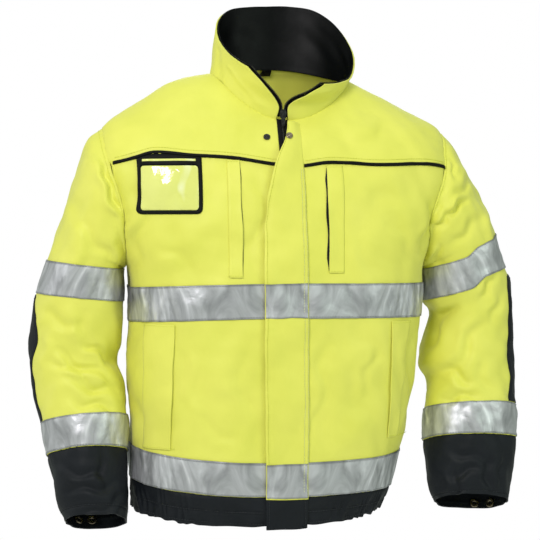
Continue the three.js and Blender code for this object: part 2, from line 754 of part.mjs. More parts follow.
// Collar: u runs from the right front edge round the back to the left one
function collarPoint(u, v) {
  const start = angleAtX(zipEdge.right, 0);
  const end = angleAtX(zipEdge.left, 0);
  const a = mix(start, end - 2 * Math.PI, u);
  const turn = a / degree;
  const onRight = turn > -180;
  const top = onRight
    ? readRow(collarTop, Math.min(turn, collarTop[collarTop.length - 1].angle))
    : readRow(collarTopLeft, Math.max(turn + 360, collarTopLeft[0].angle));
  const low = bodyPoint(a, 0);
  const point = new THREE.Vector3(mix(low.x, top.x, v), mix(low.y, top.y, v), mix(low.z, top.z, v));
  for (const side of ['right', 'left']) {
    const edge = readRow(collarEdges[side], v);
    const corner = side === 'right' ? collarTop[collarTop.length - 1] : collarTopLeft[0];
    const foot = collarEdges[side][0];
    const away = side === 'right' ? u : 1 - u;
    const weight = Math.exp(-((away / collarEdgeSpan) ** 2));
    point.x += weight * (edge.x - mix(foot.x, corner.x, v));
    point.y += weight * (edge.y - mix(foot.y, corner.y, v));
    point.z += weight * (edge.z - mix(foot.z, corner.z, v));
  }
  return point;
}

function collarNormal(u, v) {
  const p = Math.min(Math.max(u, 0.006), 0.994);
  const q = Math.min(Math.max(v, 0.03), 0.97);
  return surfaceNormal(collarPoint, p, q, 0.006, 0.03).negate();
}

function collarGrid(steps, low, high) {
  return steps.map((v) => {
    const row = [];
    for (let i = 0; i <= collarColumns; i += 1) {
      const u = i / collarColumns;
      const own = collarNormal(u, v);
      const a = mix(angleAtX(zipEdge.right, 0), angleAtX(zipEdge.left, 0) - 2 * Math.PI, u);
      const normal = v === 0 ? seamNormal(own, bodyNormal(a, 0)) : own;
      row.push(cell(collarPoint(u, v), normal, low, high));
    }
    return row;
  });
}

add('collar', wallSolid(trimmed(collarGrid([0, 0.25, 0.5, 0.75, 1], -clothWall, 0), ['top'])), 'yellow');
const liningLow = -clothWall - seamGap - liningWall;
const lining = collarGrid([0.04, 0.25, 0.5, 0.75, 1.02], liningLow, -clothWall - seamGap);
add('collar_lining', wallSolid(lining), 'lining');

// Zip between the fronts, recessed behind their edges, and its opened upper ends on the collar
const zipSet = 1.1;
const zipWall = 1.6;
const zipRings = [0, 1, 2, 3, 3.6, 4.4, 5.2, 6, 6.8, 7.6, 8.4, 9.2, 10, 10.6, 11.3, 11.92];
const zipGrid = zipRings.map((s) => [0, 0.5, 1].map((u) => {
  const x = mix(zipEdge.right + seamGap, zipEdge.left - seamGap, u);
  const a = angleAtX(x, s);
  return cell(bodyPoint(a, s), bodyNormal(angleAtX(0, s), s), -zipSet - zipWall + 0.9, -zipSet + 0.9);
}));
add('zip_closed', wallSolid(zipGrid), 'dark');

const zipGap = 0.8;

function collarZip(side) {
  const inside = liningLow - zipGap;
  return lining.map((row) => {
    const edge = side === 'right' ? row[0] : row[row.length - 1];
    const next = side === 'right' ? row[1] : row[row.length - 2];
    return [-0.12, 0.3].map((w) => cell(
      edge.point.clone().lerp(next.point, w),
      edge.normal.clone().lerp(next.normal, w).normalize(),
      inside - zipWall,
      inside,
    ));
  });
}
for (const side of ['right', 'left']) add(`zip_open_${side}`, wallSolid(collarZip(side)), 'dark');

// Storm flap over the zip
const flapSteps = [
  -72, -84, -98, -112, -128, -150, -176, -206, -236, -270, -306, -358, -400, -440, -485, -530, -571, -600,
  flapHem,
];
const flapColumns = 4;

function flapCell(z, u, low, high) {
  const row = readFalling(flapShape, z);
  const spot = onFront(mix(row.free, row.sewn, u), z);
  const lift = mix(row.lift, flapSewnLift, u ** 1.4);
  return cell(spot.point, spot.normal, lift + low, lift + high);
}

function flapGrid(steps, from, to, low, high) {
  return steps.map((z) => {
    const row = [];
    for (let i = 0; i <= flapColumns; i += 1) {
      row.push(flapCell(z, mix(from, to, i / flapColumns), low, high));
    }
    return row;
  });
}

add('storm_flap', wallSolid(flapGrid(flapSteps, 0, 1, 0, flapWall)), 'yellow');
const flapHemSteps = [flapHem - seamGap, -640, -656, flapEnd];
add('storm_flap_hem', wallSolid(flapGrid(flapHemSteps, 0, 1, 0, flapWall)), 'dark');
const flapTape = [0.02, 0.98, flapWall + layGap, flapWall + layGap + tapeWall];
add('tape_chest_flap', wallSolid(flapGrid([-306, -332, -358], ...flapTape)), 'tape');
add('tape_hem_flap', wallSolid(flapGrid([-571, -600, -622], ...flapTape)), 'tape');

// Piping on the yoke seam
const pipeHalf = 2.4;
const pipeRise = 2.2;

function pipeSolid(from, to, count) {
  const grid = [-1, 0, 1].map((w) => {
    const row = [];
    for (let i = 0; i <= count; i += 1) {
      const x = mix(from, to, i / count);
      const spot = onFront(x, readRow(pipeLine, x).z + w * pipeHalf);
      row.push(cell(spot.point, spot.normal, pipeGap, pipeGap + pipeRise - Math.abs(w) * 0.9));
    }
    return row;
  });
  return wallSolid(grid);
}
add('piping_right', pipeSolid(-248, -12.5, 18), 'dark');
add('piping_left', pipeSolid(32, 249, 16), 'dark');

// Pocket welts
const pocketRows = 7;
const pocketColumns = 4;
for (const pocket of pockets) {
  const grid = [];
  for (let j = 0; j <= pocketRows; j += 1) {
    const z = mix(pocket.top, pocket.low, j / pocketRows);
    const bow = Math.sin((j / pocketRows) * Math.PI);
    const row = [];
    for (let i = 0; i <= pocketColumns; i += 1) {
      const u = i / pocketColumns;
      const w = j / pocketRows;
      const slit = mix(pocket.slit, pocket.slitLow, w);
      const spot = onFront(mix(slit, mix(pocket.sewn, pocket.sewnLow, w), u), z);
      const lift = pipeGap + pocket.lift * bow * (1 - u) ** 2;
      row.push(cell(spot.point, spot.normal, lift, lift + patchWall));
    }
    grid.push(row);
  }
  add(pocket.name, wallSolid(grid), 'yellow');
}

// Card holder: frame ring and clear window
function roundedLoop(box, count) {
  const points = [];
  const centreX = (box.x0 + box.x1) / 2;
  const centreZ = (box.z0 + box.z1) / 2;
  for (let i = 0; i < count; i += 1) {
    const turn = (i / count) * 2 * Math.PI;
    const halfX = (box.x1 - box.x0) / 2;
    const halfZ = (box.z1 - box.z0) / 2;
    const c = Math.cos(turn);
    const k = Math.sin(turn);
    const scale = 1 / Math.max(Math.abs(c), Math.abs(k));
    const px = Math.sign(c) * Math.min(halfX, Math.abs(c) * scale * halfX);
    const pz = Math.sign(k) * Math.min(halfZ, Math.abs(k) * scale * halfZ);
    const overX = Math.max(0, Math.abs(px) - (halfX - box.radius));
    const overZ = Math.max(0, Math.abs(pz) - (halfZ - box.radius));
    const over = Math.hypot(overX, overZ);
    const held = over > box.radius ? box.radius / over : 1;
    points.push([
      centreX + Math.sign(px) * (Math.abs(px) - overX + overX * held),
      centreZ + Math.sign(pz) * (Math.abs(pz) - overZ + overZ * held),
    ]);
  }
  return points;
}
const loopCount = 40;
const outerLoop = roundedLoop(card.outer, loopCount);
const innerLoop = roundedLoop(card.inner, loopCount);
const frameGrid = [outerLoop, innerLoop].map((loop) => loop.map(([x, z]) => {
  const spot = onFront(x, Math.min(z, readRow(pipeLine, x).z - pipeHalf - seamGap));
  return cell(spot.point, spot.normal, pipeGap, pipeGap + card.frame);
}));
add('card_holder_frame', wallSolid(frameGrid, true), 'dark');

const windowInset = 1.1;
const windowGap = 0.95;
const windowBox = card.inner;
const windowSteps = 5;
const windowGrid = [];
for (let j = 0; j <= windowSteps; j += 1) {
  const z = mix(windowBox.z0 + windowInset, windowBox.z1 - windowInset, j / windowSteps);
  const rise = Math.min(z - windowBox.z0, windowBox.z1 - z) - windowInset / 2;
  const cut = rise < windowBox.radius
    ? windowBox.radius - Math.sqrt(windowBox.radius ** 2 - (windowBox.radius - rise) ** 2)
    : 0;
  const row = [];
  for (let i = 0; i <= windowSteps; i += 1) {
    const x = mix(windowBox.x0 + cut + windowInset, windowBox.x1 - cut - windowInset, i / windowSteps);
    const spot = onFront(x, z);
    row.push(cell(spot.point, spot.normal, windowGap, windowGap + card.window));
  }
  windowGrid.push(row);
}
add('card_holder_window', wallSolid(windowGrid), 'window');

// Round pieces: profile of radius and height turned about the normal at a spot
function turned(profile, spot, rise, segments = 10) {
  const geometry = new THREE.LatheGeometry(profile.map(([r, h]) => new THREE.Vector2(r, h)), segments);
  const turn = new THREE.Quaternion().setFromUnitVectors(new THREE.Vector3(0, 1, 0), spot.normal);
  geometry.applyQuaternion(turn);
  const seat = spot.point.clone().addScaledVector(spot.normal, rise);
  geometry.translate(seat.x, seat.y, seat.z);
  return geometry;
}
const snapProfile = [[0, 0], [5, 0], [5, 1.2], [4, 2], [2.6, 2], [2.2, 1.2], [0, 1.2]];
add('snap_front', turned(snapProfile, onFront(-26, -93), overlayGap), 'metal');
const flapSnap = flapCell(-95, 0.24, 0, 0);
flapSnap.point.addScaledVector(flapSnap.normal, flapSnap.low + flapWall);
add('snap_flap', turned(snapProfile, flapSnap, 0.8), 'metal');

const cuffSnapProfile = [[2.6, 0], [7, 0], [7, 1.4], [6, 2], [3.6, 2], [2.6, 1.2]];
const cuffSnaps = [
  ['snap_cuff_right_outer', 'right', -62],
  ['snap_cuff_right_inner', 'right', -88],
  ['snap_cuff_left_inner', 'left', -72],
  ['snap_cuff_left_outer', 'left', -46],
];
const cuffSnapGap = 1.35;
for (const [name, side, turnAngle] of cuffSnaps) {
  const phi = turnAngle * degree;
  const outside = sleeveNormal(side, 15.5, phi);
  const spot = { point: sleevePoint(side, 15.5, phi), normal: outside.clone().negate() };
  const ring = [...cuffSnapProfile, cuffSnapProfile[0]];
  add(name, turned(ring, spot, clothWall + cuffSnapGap), 'metal');
}

// Plain tab inside the back of the neck
const tab = { rings: [0.06, 0.35, 0.62], half: 7, shift: -5, reach: 100, inside: 0.5, wall: 1.1 };
const tabGrid = tab.rings.map((s) => [-tab.half, 0, tab.half].map((x) => {
  const a = Math.PI - Math.atan((x + tab.shift) / tab.reach);
  const high = -clothWall - tab.inside;
  return cell(bodyPoint(a, s), bodyNormal(a, s), high - tab.wall, high);
}));
add('neck_tab', wallSolid(tabGrid), 'dark');

// Zip slider and its pull tab
const sliderSpot = { x: 0, z: -58 };
const sliderAt = onFront(sliderSpot.x, -67).point;
const sliderTop = new THREE.Vector3(0, sliderAt.y - 6.4, sliderSpot.z);
const sliderShape = new THREE.Shape([
  new THREE.Vector2(-3, 7), new THREE.Vector2(3, 7), new THREE.Vector2(5, 3),
  new THREE.Vector2(4, -6), new THREE.Vector2(-4, -6), new THREE.Vector2(-5, 3),
]);
const slider = new THREE.ExtrudeGeometry(sliderShape, { depth: 3, bevelEnabled: false });
slider.rotateX(quarter);
slider.translate(sliderTop.x, sliderTop.y + 3, sliderTop.z);
add('zip_slider', slider, 'metal');

const pullShape = new THREE.Shape([
  new THREE.Vector2(-2.4, 0), new THREE.Vector2(2.4, 0), new THREE.Vector2(3.2, -12),
  new THREE.Vector2(2.4, -19), new THREE.Vector2(-2.4, -19), new THREE.Vector2(-3.2, -12),
]);
const pull = new THREE.ExtrudeGeometry(pullShape, { depth: 1.4, bevelEnabled: false });
pull.rotateX(quarter);
pull.translate(sliderTop.x, sliderTop.y - 0.3, sliderTop.z + 2);
add('zip_pull', pull, 'metal');

export default group;
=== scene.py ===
import math

import bmesh
import bpy
import numpy as np
from mathutils import Matrix, Vector


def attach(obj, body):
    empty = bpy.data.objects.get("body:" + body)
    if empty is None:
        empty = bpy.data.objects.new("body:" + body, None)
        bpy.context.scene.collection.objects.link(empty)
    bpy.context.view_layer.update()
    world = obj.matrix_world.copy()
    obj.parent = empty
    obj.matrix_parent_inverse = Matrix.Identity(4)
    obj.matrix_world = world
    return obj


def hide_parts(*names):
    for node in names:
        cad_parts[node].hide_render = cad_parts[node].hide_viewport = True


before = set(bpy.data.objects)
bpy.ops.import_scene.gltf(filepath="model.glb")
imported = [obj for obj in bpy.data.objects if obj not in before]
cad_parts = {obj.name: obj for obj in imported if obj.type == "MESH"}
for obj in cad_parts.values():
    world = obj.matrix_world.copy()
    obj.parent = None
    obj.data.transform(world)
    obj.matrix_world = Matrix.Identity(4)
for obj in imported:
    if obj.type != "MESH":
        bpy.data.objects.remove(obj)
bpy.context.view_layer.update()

mm = 0.001
degree = math.pi / 180
quarter = math.pi / 2
print("stage: frame loaded")

# Camera, light and floor
studio = {
    "camera": (-0.4112, -2.5664, -0.2013),
    "aim": (-0.0047, 0.0, -0.292),
    "lens": 112.67,
    "ambient": 0.42,
    "floor": -1.45,
    "fill": (0.9, 1.0, 0.88),
    "lights": [  # place, size, power, tint
        ((-1.5, -2.6, 1.4), 0.9, 60, (1.0, 0.97, 0.98)),
        ((1.9, -2.2, 0.3), 1.0, 17, (0.86, 1.0, 0.86)),
        ((-2.6, 0.2, 0.2), 1.0, 10, (1.0, 1.0, 1.0)),
        ((0.4, 2.6, 1.3), 1.8, 18, (1.0, 1.0, 1.0)),
        ((0.2, -0.4, 2.6), 1.2, 13, (0.92, 1.0, 0.9)),
    ],
}


def aimed(thing, place, target):
    thing.location = place
    thing.rotation_euler = (Vector(target) - Vector(place)).to_track_quat("-Z", "Y").to_euler()
    bpy.context.collection.objects.link(thing)


cameraData = bpy.data.cameras.new("camera")
cameraData.lens = studio["lens"]
cameraData.sensor_width = 36
camera = bpy.data.objects.new("camera", cameraData)
aimed(camera, studio["camera"], studio["aim"])
bpy.context.scene.camera = camera
for number, (place, size, power, tint) in enumerate(studio["lights"]):
    lamp = bpy.data.lights.new(f"softbox{number}", "AREA")
    lamp.shape, lamp.size, lamp.energy = "SQUARE", size, power
    lamp.color = tint
    aimed(bpy.data.objects.new(f"softbox{number}", lamp), place, (0, 0, -0.3))

world = bpy.data.worlds.new("studio")
bpy.context.scene.world = world
world.use_nodes = True
worldTree = world.node_tree
worldTree.nodes.clear()
worldOut = worldTree.nodes.new("ShaderNodeOutputWorld")
backdrop = worldTree.nodes.new("ShaderNodeBackground")
backdrop.inputs["Color"].default_value = (1, 1, 1, 1)
backdrop.inputs["Strength"].default_value = 1.0
fill = worldTree.nodes.new("ShaderNodeBackground")
fill.inputs["Color"].default_value = (*studio["fill"], 1)
fill.inputs["Strength"].default_value = studio["ambient"]
rays = worldTree.nodes.new("ShaderNodeLightPath")
chooser = worldTree.nodes.new("ShaderNodeMixShader")
worldTree.links.new(rays.outputs["Is Camera Ray"], chooser.inputs[0])
worldTree.links.new(fill.outputs[0], chooser.inputs[1])
worldTree.links.new(backdrop.outputs[0], chooser.inputs[2])
worldTree.links.new(chooser.outputs[0], worldOut.inputs["Surface"])
bpy.context.scene.view_settings.view_transform = "Standard"

floorShape = bmesh.new()
bmesh.ops.create_circle(floorShape, cap_ends=True, segments=96, radius=2.4,
                        matrix=Matrix.Translation((0, 0, studio["floor"])))
floorMesh = bpy.data.meshes.new("floor")
floorShape.to_mesh(floorMesh)
floorShape.free()
floor = bpy.data.objects.new("floor", floorMesh)
bpy.context.collection.objects.link(floor)
floorLook = bpy.data.materials.new("paleFloor")
floorLook.use_nodes = True
floorLook.node_tree.nodes["Principled BSDF"].inputs["Base Color"].default_value = (0.9, 0.9, 0.89, 1)
floorLook.node_tree.nodes["Principled BSDF"].inputs["Roughness"].default_value = 0.9
floorMesh.materials.append(floorLook)
print("stage: studio ready")


# Finishes
class Finish:
    def __init__(self, name):
        self.material = bpy.data.materials.new(name)
        self.material.use_nodes = True
        self.tree = self.material.node_tree
        self.shader = self.tree.nodes["Principled BSDF"]

    def node(self, kind, **sockets):
        made = self.tree.nodes.new(kind)
        for name, value in sockets.items():
            made.inputs[name.replace("_", " ")].default_value = value
        return made

    def link(self, start, end):
        self.tree.links.new(start, end)

    def coordinates(self, output, scale=(1, 1, 1), turn=0.0):
        source = self.node("ShaderNodeTexCoord")
        mapping = self.node("ShaderNodeMapping")
        mapping.inputs["Scale"].default_value = scale
        mapping.inputs["Rotation"].default_value = (0, 0, turn)
        self.link(source.outputs[output], mapping.inputs["Vector"])
        return mapping.outputs["Vector"]

    def noise(self, vector, scale, detail=2.0, distortion=0.0):
        made = self.node("ShaderNodeTexNoise", Scale=scale, Detail=detail, Distortion=distortion)
        self.link(vector, made.inputs["Vector"])
        return made.outputs["Fac"]

    def bands(self, vector, pitch, direction):
        made = self.node("ShaderNodeTexWave", Scale=math.pi / 10 / pitch)
        made.bands_direction = direction
        self.link(vector, made.inputs["Vector"])
        return made.outputs["Fac"]

    def ramp(self, value, stops):
        made = self.tree.nodes.new("ShaderNodeValToRGB")
        while len(made.color_ramp.elements) < len(stops):
            made.color_ramp.elements.new(0.5)
        for element, (place, color) in zip(made.color_ramp.elements, stops):
            element.position = place
            element.color = (*color, 1)
        self.link(value, made.inputs["Fac"])
        return made.outputs["Color"]

    def blend(self, share, first, second, kind="MIX"):
        made = self.tree.nodes.new("ShaderNodeMix")
        made.data_type, made.blend_type = "RGBA", kind
        for socket, value in ((made.inputs["Factor"], share), (made.inputs[6], first), (made.inputs[7], second)):
            if hasattr(value, "is_output"):
                self.link(value, socket)
            else:
                socket.default_value = value
        return made.outputs[2]

    def ranged(self, value, low, high):
        made = self.node("ShaderNodeMapRange")
        made.inputs["To Min"].default_value = low
        made.inputs["To Max"].default_value = high
        self.link(value, made.inputs["Value"])
        return made.outputs["Result"]

    def bump(self, height, distance, strength, before=None):
        made = self.node("ShaderNodeBump", Distance=distance, Strength=strength)
        self.link(height, made.inputs["Height"])
        if before is not None:
            self.link(before, made.inputs["Normal"])
        return made.outputs["Normal"]

    def finish(self, color=None, rough=None, normal=None, **sockets):
        if color is not None:
            self.link(color, self.shader.inputs["Base Color"])
        if rough is not None:
            self.link(rough, self.shader.inputs["Roughness"])
        if normal is not None:
            self.link(normal, self.shader.inputs["Normal"])
        for name, value in sockets.items():
            self.shader.inputs[name.replace("_", " ")].default_value = value
        return self.material


def wovenCloth(name, spec):
    look = Finish(name)
    place = look.coordinates("Object")
    weave = look.coordinates("UV")
    mottle = look.noise(place, spec["mottle"], 3.0)
    color = look.ramp(mottle, [(0.3, spec["low"]), (0.7, spec["high"])])
    threads = look.bands(weave, spec["thread"], "X")
    across = look.bands(weave, spec["thread"], "Y")
    cloth = look.blend(0.5, threads, across, "DIFFERENCE")
    color = look.blend(look.ranged(cloth, 0.0, spec["threadShade"]), color, (*spec["shade"], 1))
    rough = look.ranged(look.noise(place, 90.0, 3.0), spec["rough"][0], spec["rough"][1])
    normal = look.bump(look.noise(place, spec["wrinkle"], 4.0, 0.6), 0.0016, spec["wrinkleDepth"])
    normal = look.bump(cloth, 0.00012, 0.35, normal)
    return look.finish(color, rough, normal, **spec["sockets"])


cloths = {
    "yellowShell": {
        "low": (0.745, 0.745, 0.105), "high": (0.81, 0.795, 0.13), "shade": (0.62, 0.66, 0.06),
        "mottle": 14.0, "thread": 0.0007, "threadShade": 0.12, "rough": (0.5, 0.62),
        "wrinkle": 26.0, "wrinkleDepth": 0.5,
        "sockets": {"Sheen_Weight": 0.12, "Sheen_Roughness": 0.5, "Specular_IOR_Level": 0.45},
    },
    "darkShell": {
        "low": (0.005, 0.0065, 0.009), "high": (0.009, 0.011, 0.015), "shade": (0.012, 0.015, 0.019),
        "mottle": 20.0, "thread": 0.0007, "threadShade": 0.3, "rough": (0.5, 0.64),
        "wrinkle": 30.0, "wrinkleDepth": 0.6,
        "sockets": {"Specular_IOR_Level": 0.18},
    },
    "darkLining": {
        "low": (0.0015, 0.0018, 0.002), "high": (0.003, 0.0035, 0.004), "shade": (0.005, 0.0055, 0.006),
        "mottle": 26.0, "thread": 0.0005, "threadShade": 0.25, "rough": (0.34, 0.46),
        "wrinkle": 24.0, "wrinkleDepth": 0.5,
        "sockets": {"Specular_IOR_Level": 0.09},
    },
    "blackTrim": {
        "low": (0.002, 0.0022, 0.002), "high": (0.004, 0.0045, 0.004), "shade": (0.007, 0.008, 0.007),
        "mottle": 40.0, "thread": 0.0007, "threadShade": 0.25, "rough": (0.5, 0.6),
        "wrinkle": 60.0, "wrinkleDepth": 0.15, "sockets": {"Specular_IOR_Level": 0.12},
    },
    "zipTape": {
        "low": (0.003, 0.003, 0.003), "high": (0.005, 0.005, 0.006), "shade": (0.01, 0.01, 0.011),
        "mottle": 40.0, "thread": 0.0009, "threadShade": 0.35, "rough": (0.6, 0.75),
        "wrinkle": 60.0, "wrinkleDepth": 0.1,
        "sockets": {"Specular_IOR_Level": 0.15},
    },
    "yellowThread": {
        "low": (0.60, 0.64, 0.05), "high": (0.74, 0.76, 0.10), "shade": (0.5, 0.55, 0.05),
        "mottle": 60.0, "thread": 0.0004, "threadShade": 0.2, "rough": (0.5, 0.6),
        "wrinkle": 60.0, "wrinkleDepth": 0.1, "sockets": {"Specular_IOR_Level": 0.4},
    },
    "paleThread": {
        "low": (0.70, 0.73, 0.30), "high": (0.82, 0.84, 0.42), "shade": (0.6, 0.62, 0.2),
        "mottle": 60.0, "thread": 0.0004, "threadShade": 0.2, "rough": (0.5, 0.6),
        "wrinkle": 60.0, "wrinkleDepth": 0.1, "sockets": {"Specular_IOR_Level": 0.4},
    },
    "greyThread": {
        "low": (0.22, 0.23, 0.24), "high": (0.34, 0.35, 0.36), "shade": (0.2, 0.2, 0.2),
        "mottle": 60.0, "thread": 0.0004, "threadShade": 0.2, "rough": (0.5, 0.6),
        "wrinkle": 60.0, "wrinkleDepth": 0.1, "sockets": {"Specular_IOR_Level": 0.4},
    },
    "darkThread": {
        "low": (0.012, 0.014, 0.018), "high": (0.022, 0.025, 0.032), "shade": (0.012, 0.012, 0.012),
        "mottle": 60.0, "thread": 0.0004, "threadShade": 0.2, "rough": (0.5, 0.6),
        "wrinkle": 60.0, "wrinkleDepth": 0.1, "sockets": {"Specular_IOR_Level": 0.4},
    },
}
looks = {name: wovenCloth(name, spec) for name, spec in cloths.items()}


def reflectiveTape(name, spec):
    look = Finish(name)
    place = look.coordinates("Object")
    along = look.coordinates("UV")
    # Colour: the tape's silver grey with painted reflection: dark and bright streaks from stretched noise stand in for
    # the crinkled beads catching light; a thin strip along each long edge is darker
    paintedGlintPatches = look.noise(look.coordinates("UV", (1.0, 0.4, 1.0), 0.55), spec["paintedGlintPatches"], 4.0, 1.6)
    color = look.ramp(paintedGlintPatches, spec["stops"])
    split = look.node("ShaderNodeSeparateXYZ")
    look.link(along, split.inputs[0])
    edge = look.ramp(look.ranged(split.outputs["Y"], 0.0, 1.0), spec["edge"])
    color = look.blend(1.0, color, edge, "MULTIPLY")
    rough = look.ranged(look.noise(place, 60.0, 3.0), spec["rough"][0], spec["rough"][1])
    crinkle = look.noise(look.coordinates("UV", (1.0, 0.6, 1.0), 0.7), spec["crinkle"], 3.0, 0.8)
    normal = look.bump(crinkle, 0.004, spec["crinkleDepth"])
    normal = look.bump(look.noise(place, 900.0, 1.0), 0.0001, 0.3, normal)
    return look.finish(color, rough, normal, **spec["sockets"])


# Tape finish: the colour stops are painted reflection streaks, dark to bright, over the tape's silver grey
tapeLook = {
    "paintedGlintPatches": 26.0,
    "stops": [(0.30, (0.26, 0.265, 0.28)), (0.45, (0.45, 0.455, 0.48)), (0.58, (0.6, 0.605, 0.64)),
              (0.72, (0.86, 0.86, 0.9))],
    "edge": [(0.0, (0.45, 0.45, 0.45)), (0.0012, (0.55, 0.55, 0.55)), (0.0022, (1, 1, 1)),
             (0.0478, (1, 1, 1)), (0.0488, (0.55, 0.55, 0.55)), (0.05, (0.45, 0.45, 0.45))],
    "rough": (0.4, 0.52), "crinkle": 34.0, "crinkleDepth": 0.55,
    "sockets": {"Metallic": 0.5, "Specular_IOR_Level": 0.4},
}
looks["reflectiveTape"] = reflectiveTape("reflectiveTape", tapeLook)


def clearWindow(name):
    look = Finish(name)
    place = look.coordinates("UV")
    # Colour of the film: the yellow cloth seen through it, with painted reflection: pale and white patches from
    # stretched noise, more of them towards one end of the film's width
    paintedReflectionNoise = look.noise(look.coordinates("UV", (1.0, 0.4, 1.0), 0.35), 24.0, 2.0, 0.8)
    split = look.node("ShaderNodeSeparateXYZ")
    look.link(place, split.inputs[0])
    share = look.node("ShaderNodeMath")
    share.operation = "MULTIPLY_ADD"
    look.link(split.outputs["X"], share.inputs[0])
    share.inputs[1].default_value = 5.5
    look.link(paintedReflectionNoise, share.inputs[2])
    color = look.ramp(look.ranged(share.outputs[0], 0.0, 0.8), [
        (0.1, (0.95, 0.96, 0.75)), (0.2, (0.80, 0.82, 0.25)), (0.66, (0.76, 0.78, 0.20)),
        (0.74, (0.86, 0.88, 0.42)), (0.82, (0.98, 0.98, 0.94))])
    normal = look.bump(look.noise(place, 40.0, 2.0, 1.0), 0.004, 0.5)
    return look.finish(color, None, normal, Roughness=0.1, Specular_IOR_Level=0.5, Coat_Weight=0.3,
                       Coat_Roughness=0.05)


looks["cardWindow"] = clearWindow("cardWindow")


def satinMetal(name, low, high, rough):
    look = Finish(name)
    place = look.coordinates("Object")
    color = look.ramp(look.noise(place, 300.0, 3.0), [(0.35, low), (0.65, high)])
    roughness = look.ranged(look.noise(place, 700.0, 2.0), rough[0], rough[1])
    normal = look.bump(look.noise(place, 1400.0, 2.0), 0.0001, 0.2)
    return look.finish(color, roughness, normal, Metallic=0.9)


looks["darkMetal"] = satinMetal("darkMetal", (0.025, 0.025, 0.025), (0.06, 0.06, 0.058), (0.3, 0.42))
looks["oldBrass"] = satinMetal("oldBrass", (0.16, 0.13, 0.09), (0.30, 0.25, 0.18), (0.28, 0.42))
print("stage: finishes ready")


# Tables and small tools
def table(names, rows):
    return dict(zip(names.split(), np.array(rows, float).T))


def readTable(rows, t):
    keys = list(rows)
    knots = rows[keys[0]]
    i = np.searchsorted(knots[1:-1], t)
    before, after = np.maximum(i - 1, 0), np.minimum(i + 2, len(knots) - 1)
    span = knots[i + 1] - knots[i]
    w = (t - knots[i]) / span
    out = {}
    for key in keys:
        c = rows[key]
        m0 = (c[i + 1] - c[before]) / (knots[i + 1] - knots[before]) * span
        m1 = (c[after] - c[i]) / (knots[after] - knots[i]) * span
        rise = c[i + 1] - c[i]
        out[key] = c[i] + w * (m0 + w * (3 * rise - 2 * m0 - m1 + w * (m0 + m1 - 2 * rise)))
    return out


def smooth(low, high, value):
    w = np.clip((value - low) / (high - low), 0, 1)
    return w * w * (3 - 2 * w)


def mix(a, b, w):
    return a + (b - a) * w


def unit(v):
    return v / np.maximum(np.linalg.norm(v, axis=-1, keepdims=True), 1e-9)


def stack(*parts):
    return np.stack(np.broadcast_arrays(*parts), axis=-1).astype(float)


# Push of creases: a soft trough or ridge along each line, on the side it faces
def creasePush(creases, point, facing):
    push = np.zeros(len(point))
    for face, x0, z0, x1, z1, width, depth in zip(*creases.values()):
        weight = smooth(0.05, 0.6, -facing * face)
        dx, dz = x1 - x0, z1 - z0
        length = math.hypot(dx, dz)
        along = np.clip(((point[:, 0] - x0) * dx + (point[:, 2] - z0) * dz) / length ** 2, 0, 1)
        away = np.hypot(point[:, 0] - x0 - along * dx, point[:, 2] - z0 - along * dz)
        bend = 0.12 * length * np.sin(along * 5.3 + x0)
        beside = ((point[:, 0] - x0) * dz - (point[:, 2] - z0) * dx) / length
        beyond = np.maximum(away ** 2 - beside ** 2, 0)
        beside = beside + bend * np.sin(along * math.pi)
        taper = 0.3 + 0.7 * np.sin(along * math.pi) ** 0.7
        trough = np.exp(-(beside ** 2 + beyond) / width ** 2)
        ridge = np.exp(-((beside - 1.7 * width) ** 2 / 1.4 + beyond) / width ** 2)
        push += depth * weight * taper * (trough - 0.5 * ridge)
    return push


# Slow uneven waves of hung cloth
waves = table("kx ky kz phase size", [
    [0.061, 0.043, 0.024, 0.4, 0.8], [-0.037, 0.052, 0.049, 1.9, 0.9], [0.083, -0.031, 0.037, 4.1, 0.6],
    [0.024, 0.067, -0.071, 2.7, 0.6], [0.131, 0.089, 0.052, 0.9, 0.35], [-0.112, 0.074, 0.096, 5.2, 0.35],
    [0.19, 0.11, 0.045, 3.3, 0.22], [0.05, 0.17, 0.21, 1.1, 0.2],
])


def drape(point):
    bend = 1.3 * np.sin(point[:, 2] * 0.017 + point[:, 0] * 0.011)
    out = np.zeros(len(point))
    for kx, ky, kz, phase, size in zip(*waves.values()):
        out += size * np.sin(point[:, 0] * kx + point[:, 1] * ky + point[:, 2] * kz + phase + bend)
    return out


# Body form, from neck seam to hem
bodyRings = table("s x right left y front back zRight zLeft zFront zBack power", [
    [0, 7, 104, 109, -6, 82, 82, 8, -2, -66, 22, 2.0],
    [1, 5, 155, 145, -5, 95, 97, -3, -19, -86, 6, 2.1],
    [2, 2, 206, 201, -4, 108, 110, -34, -45, -108, -22, 2.3],
    [3, 0, 260, 255, -4, 118, 122, -77, -77, -133, -68, 2.6],
    [4, 0, 274, 270, -5, 128, 132, -134, -135, -175, -125, 2.9],
    [5, 0, 253, 250, -5, 135, 137, -205, -205, -235, -195, 3.0],
    [6, 0, 226, 227, -6, 138, 139, -283, -283, -290, -275, 2.9],
    [7, 0, 222, 227, -6, 138, 137, -350, -352, -350, -345, 2.7],
    [8, 0, 224, 217, -6, 136, 134, -430, -430, -430, -425, 2.6],
    [9, 0, 221, 208, -6, 134, 132, -506, -508, -510, -500, 2.6],
    [10, -3, 219, 195, -5, 133, 131, -551, -565, -570, -555, 2.5],
    [11, -6, 215, 185, -5, 130, 130, -603, -620, -621, -605, 2.5],
    [12, -12, 206, 176, -5, 125, 125, -650, -652, -666, -648, 2.4],
])
zipEdge = {"right": -9, "left": 8}
armholeTop, armholeLow, armholeSwing = 3, 6, 35 * degree
chestTop = {"right": -315, "left": -310, "front": -307, "back": -305}
chestLow = {"right": -367, "left": -362, "front": -358, "back": -356}
pipeLine = table("x z", [
    [-262, -134], [-240, -129], [-219, -123], [-191, -116], [-141, -120], [-76, -124],
    [-17, -133], [25, -135], [65, -130], [142, -133], [218, -131], [262, -137],
])
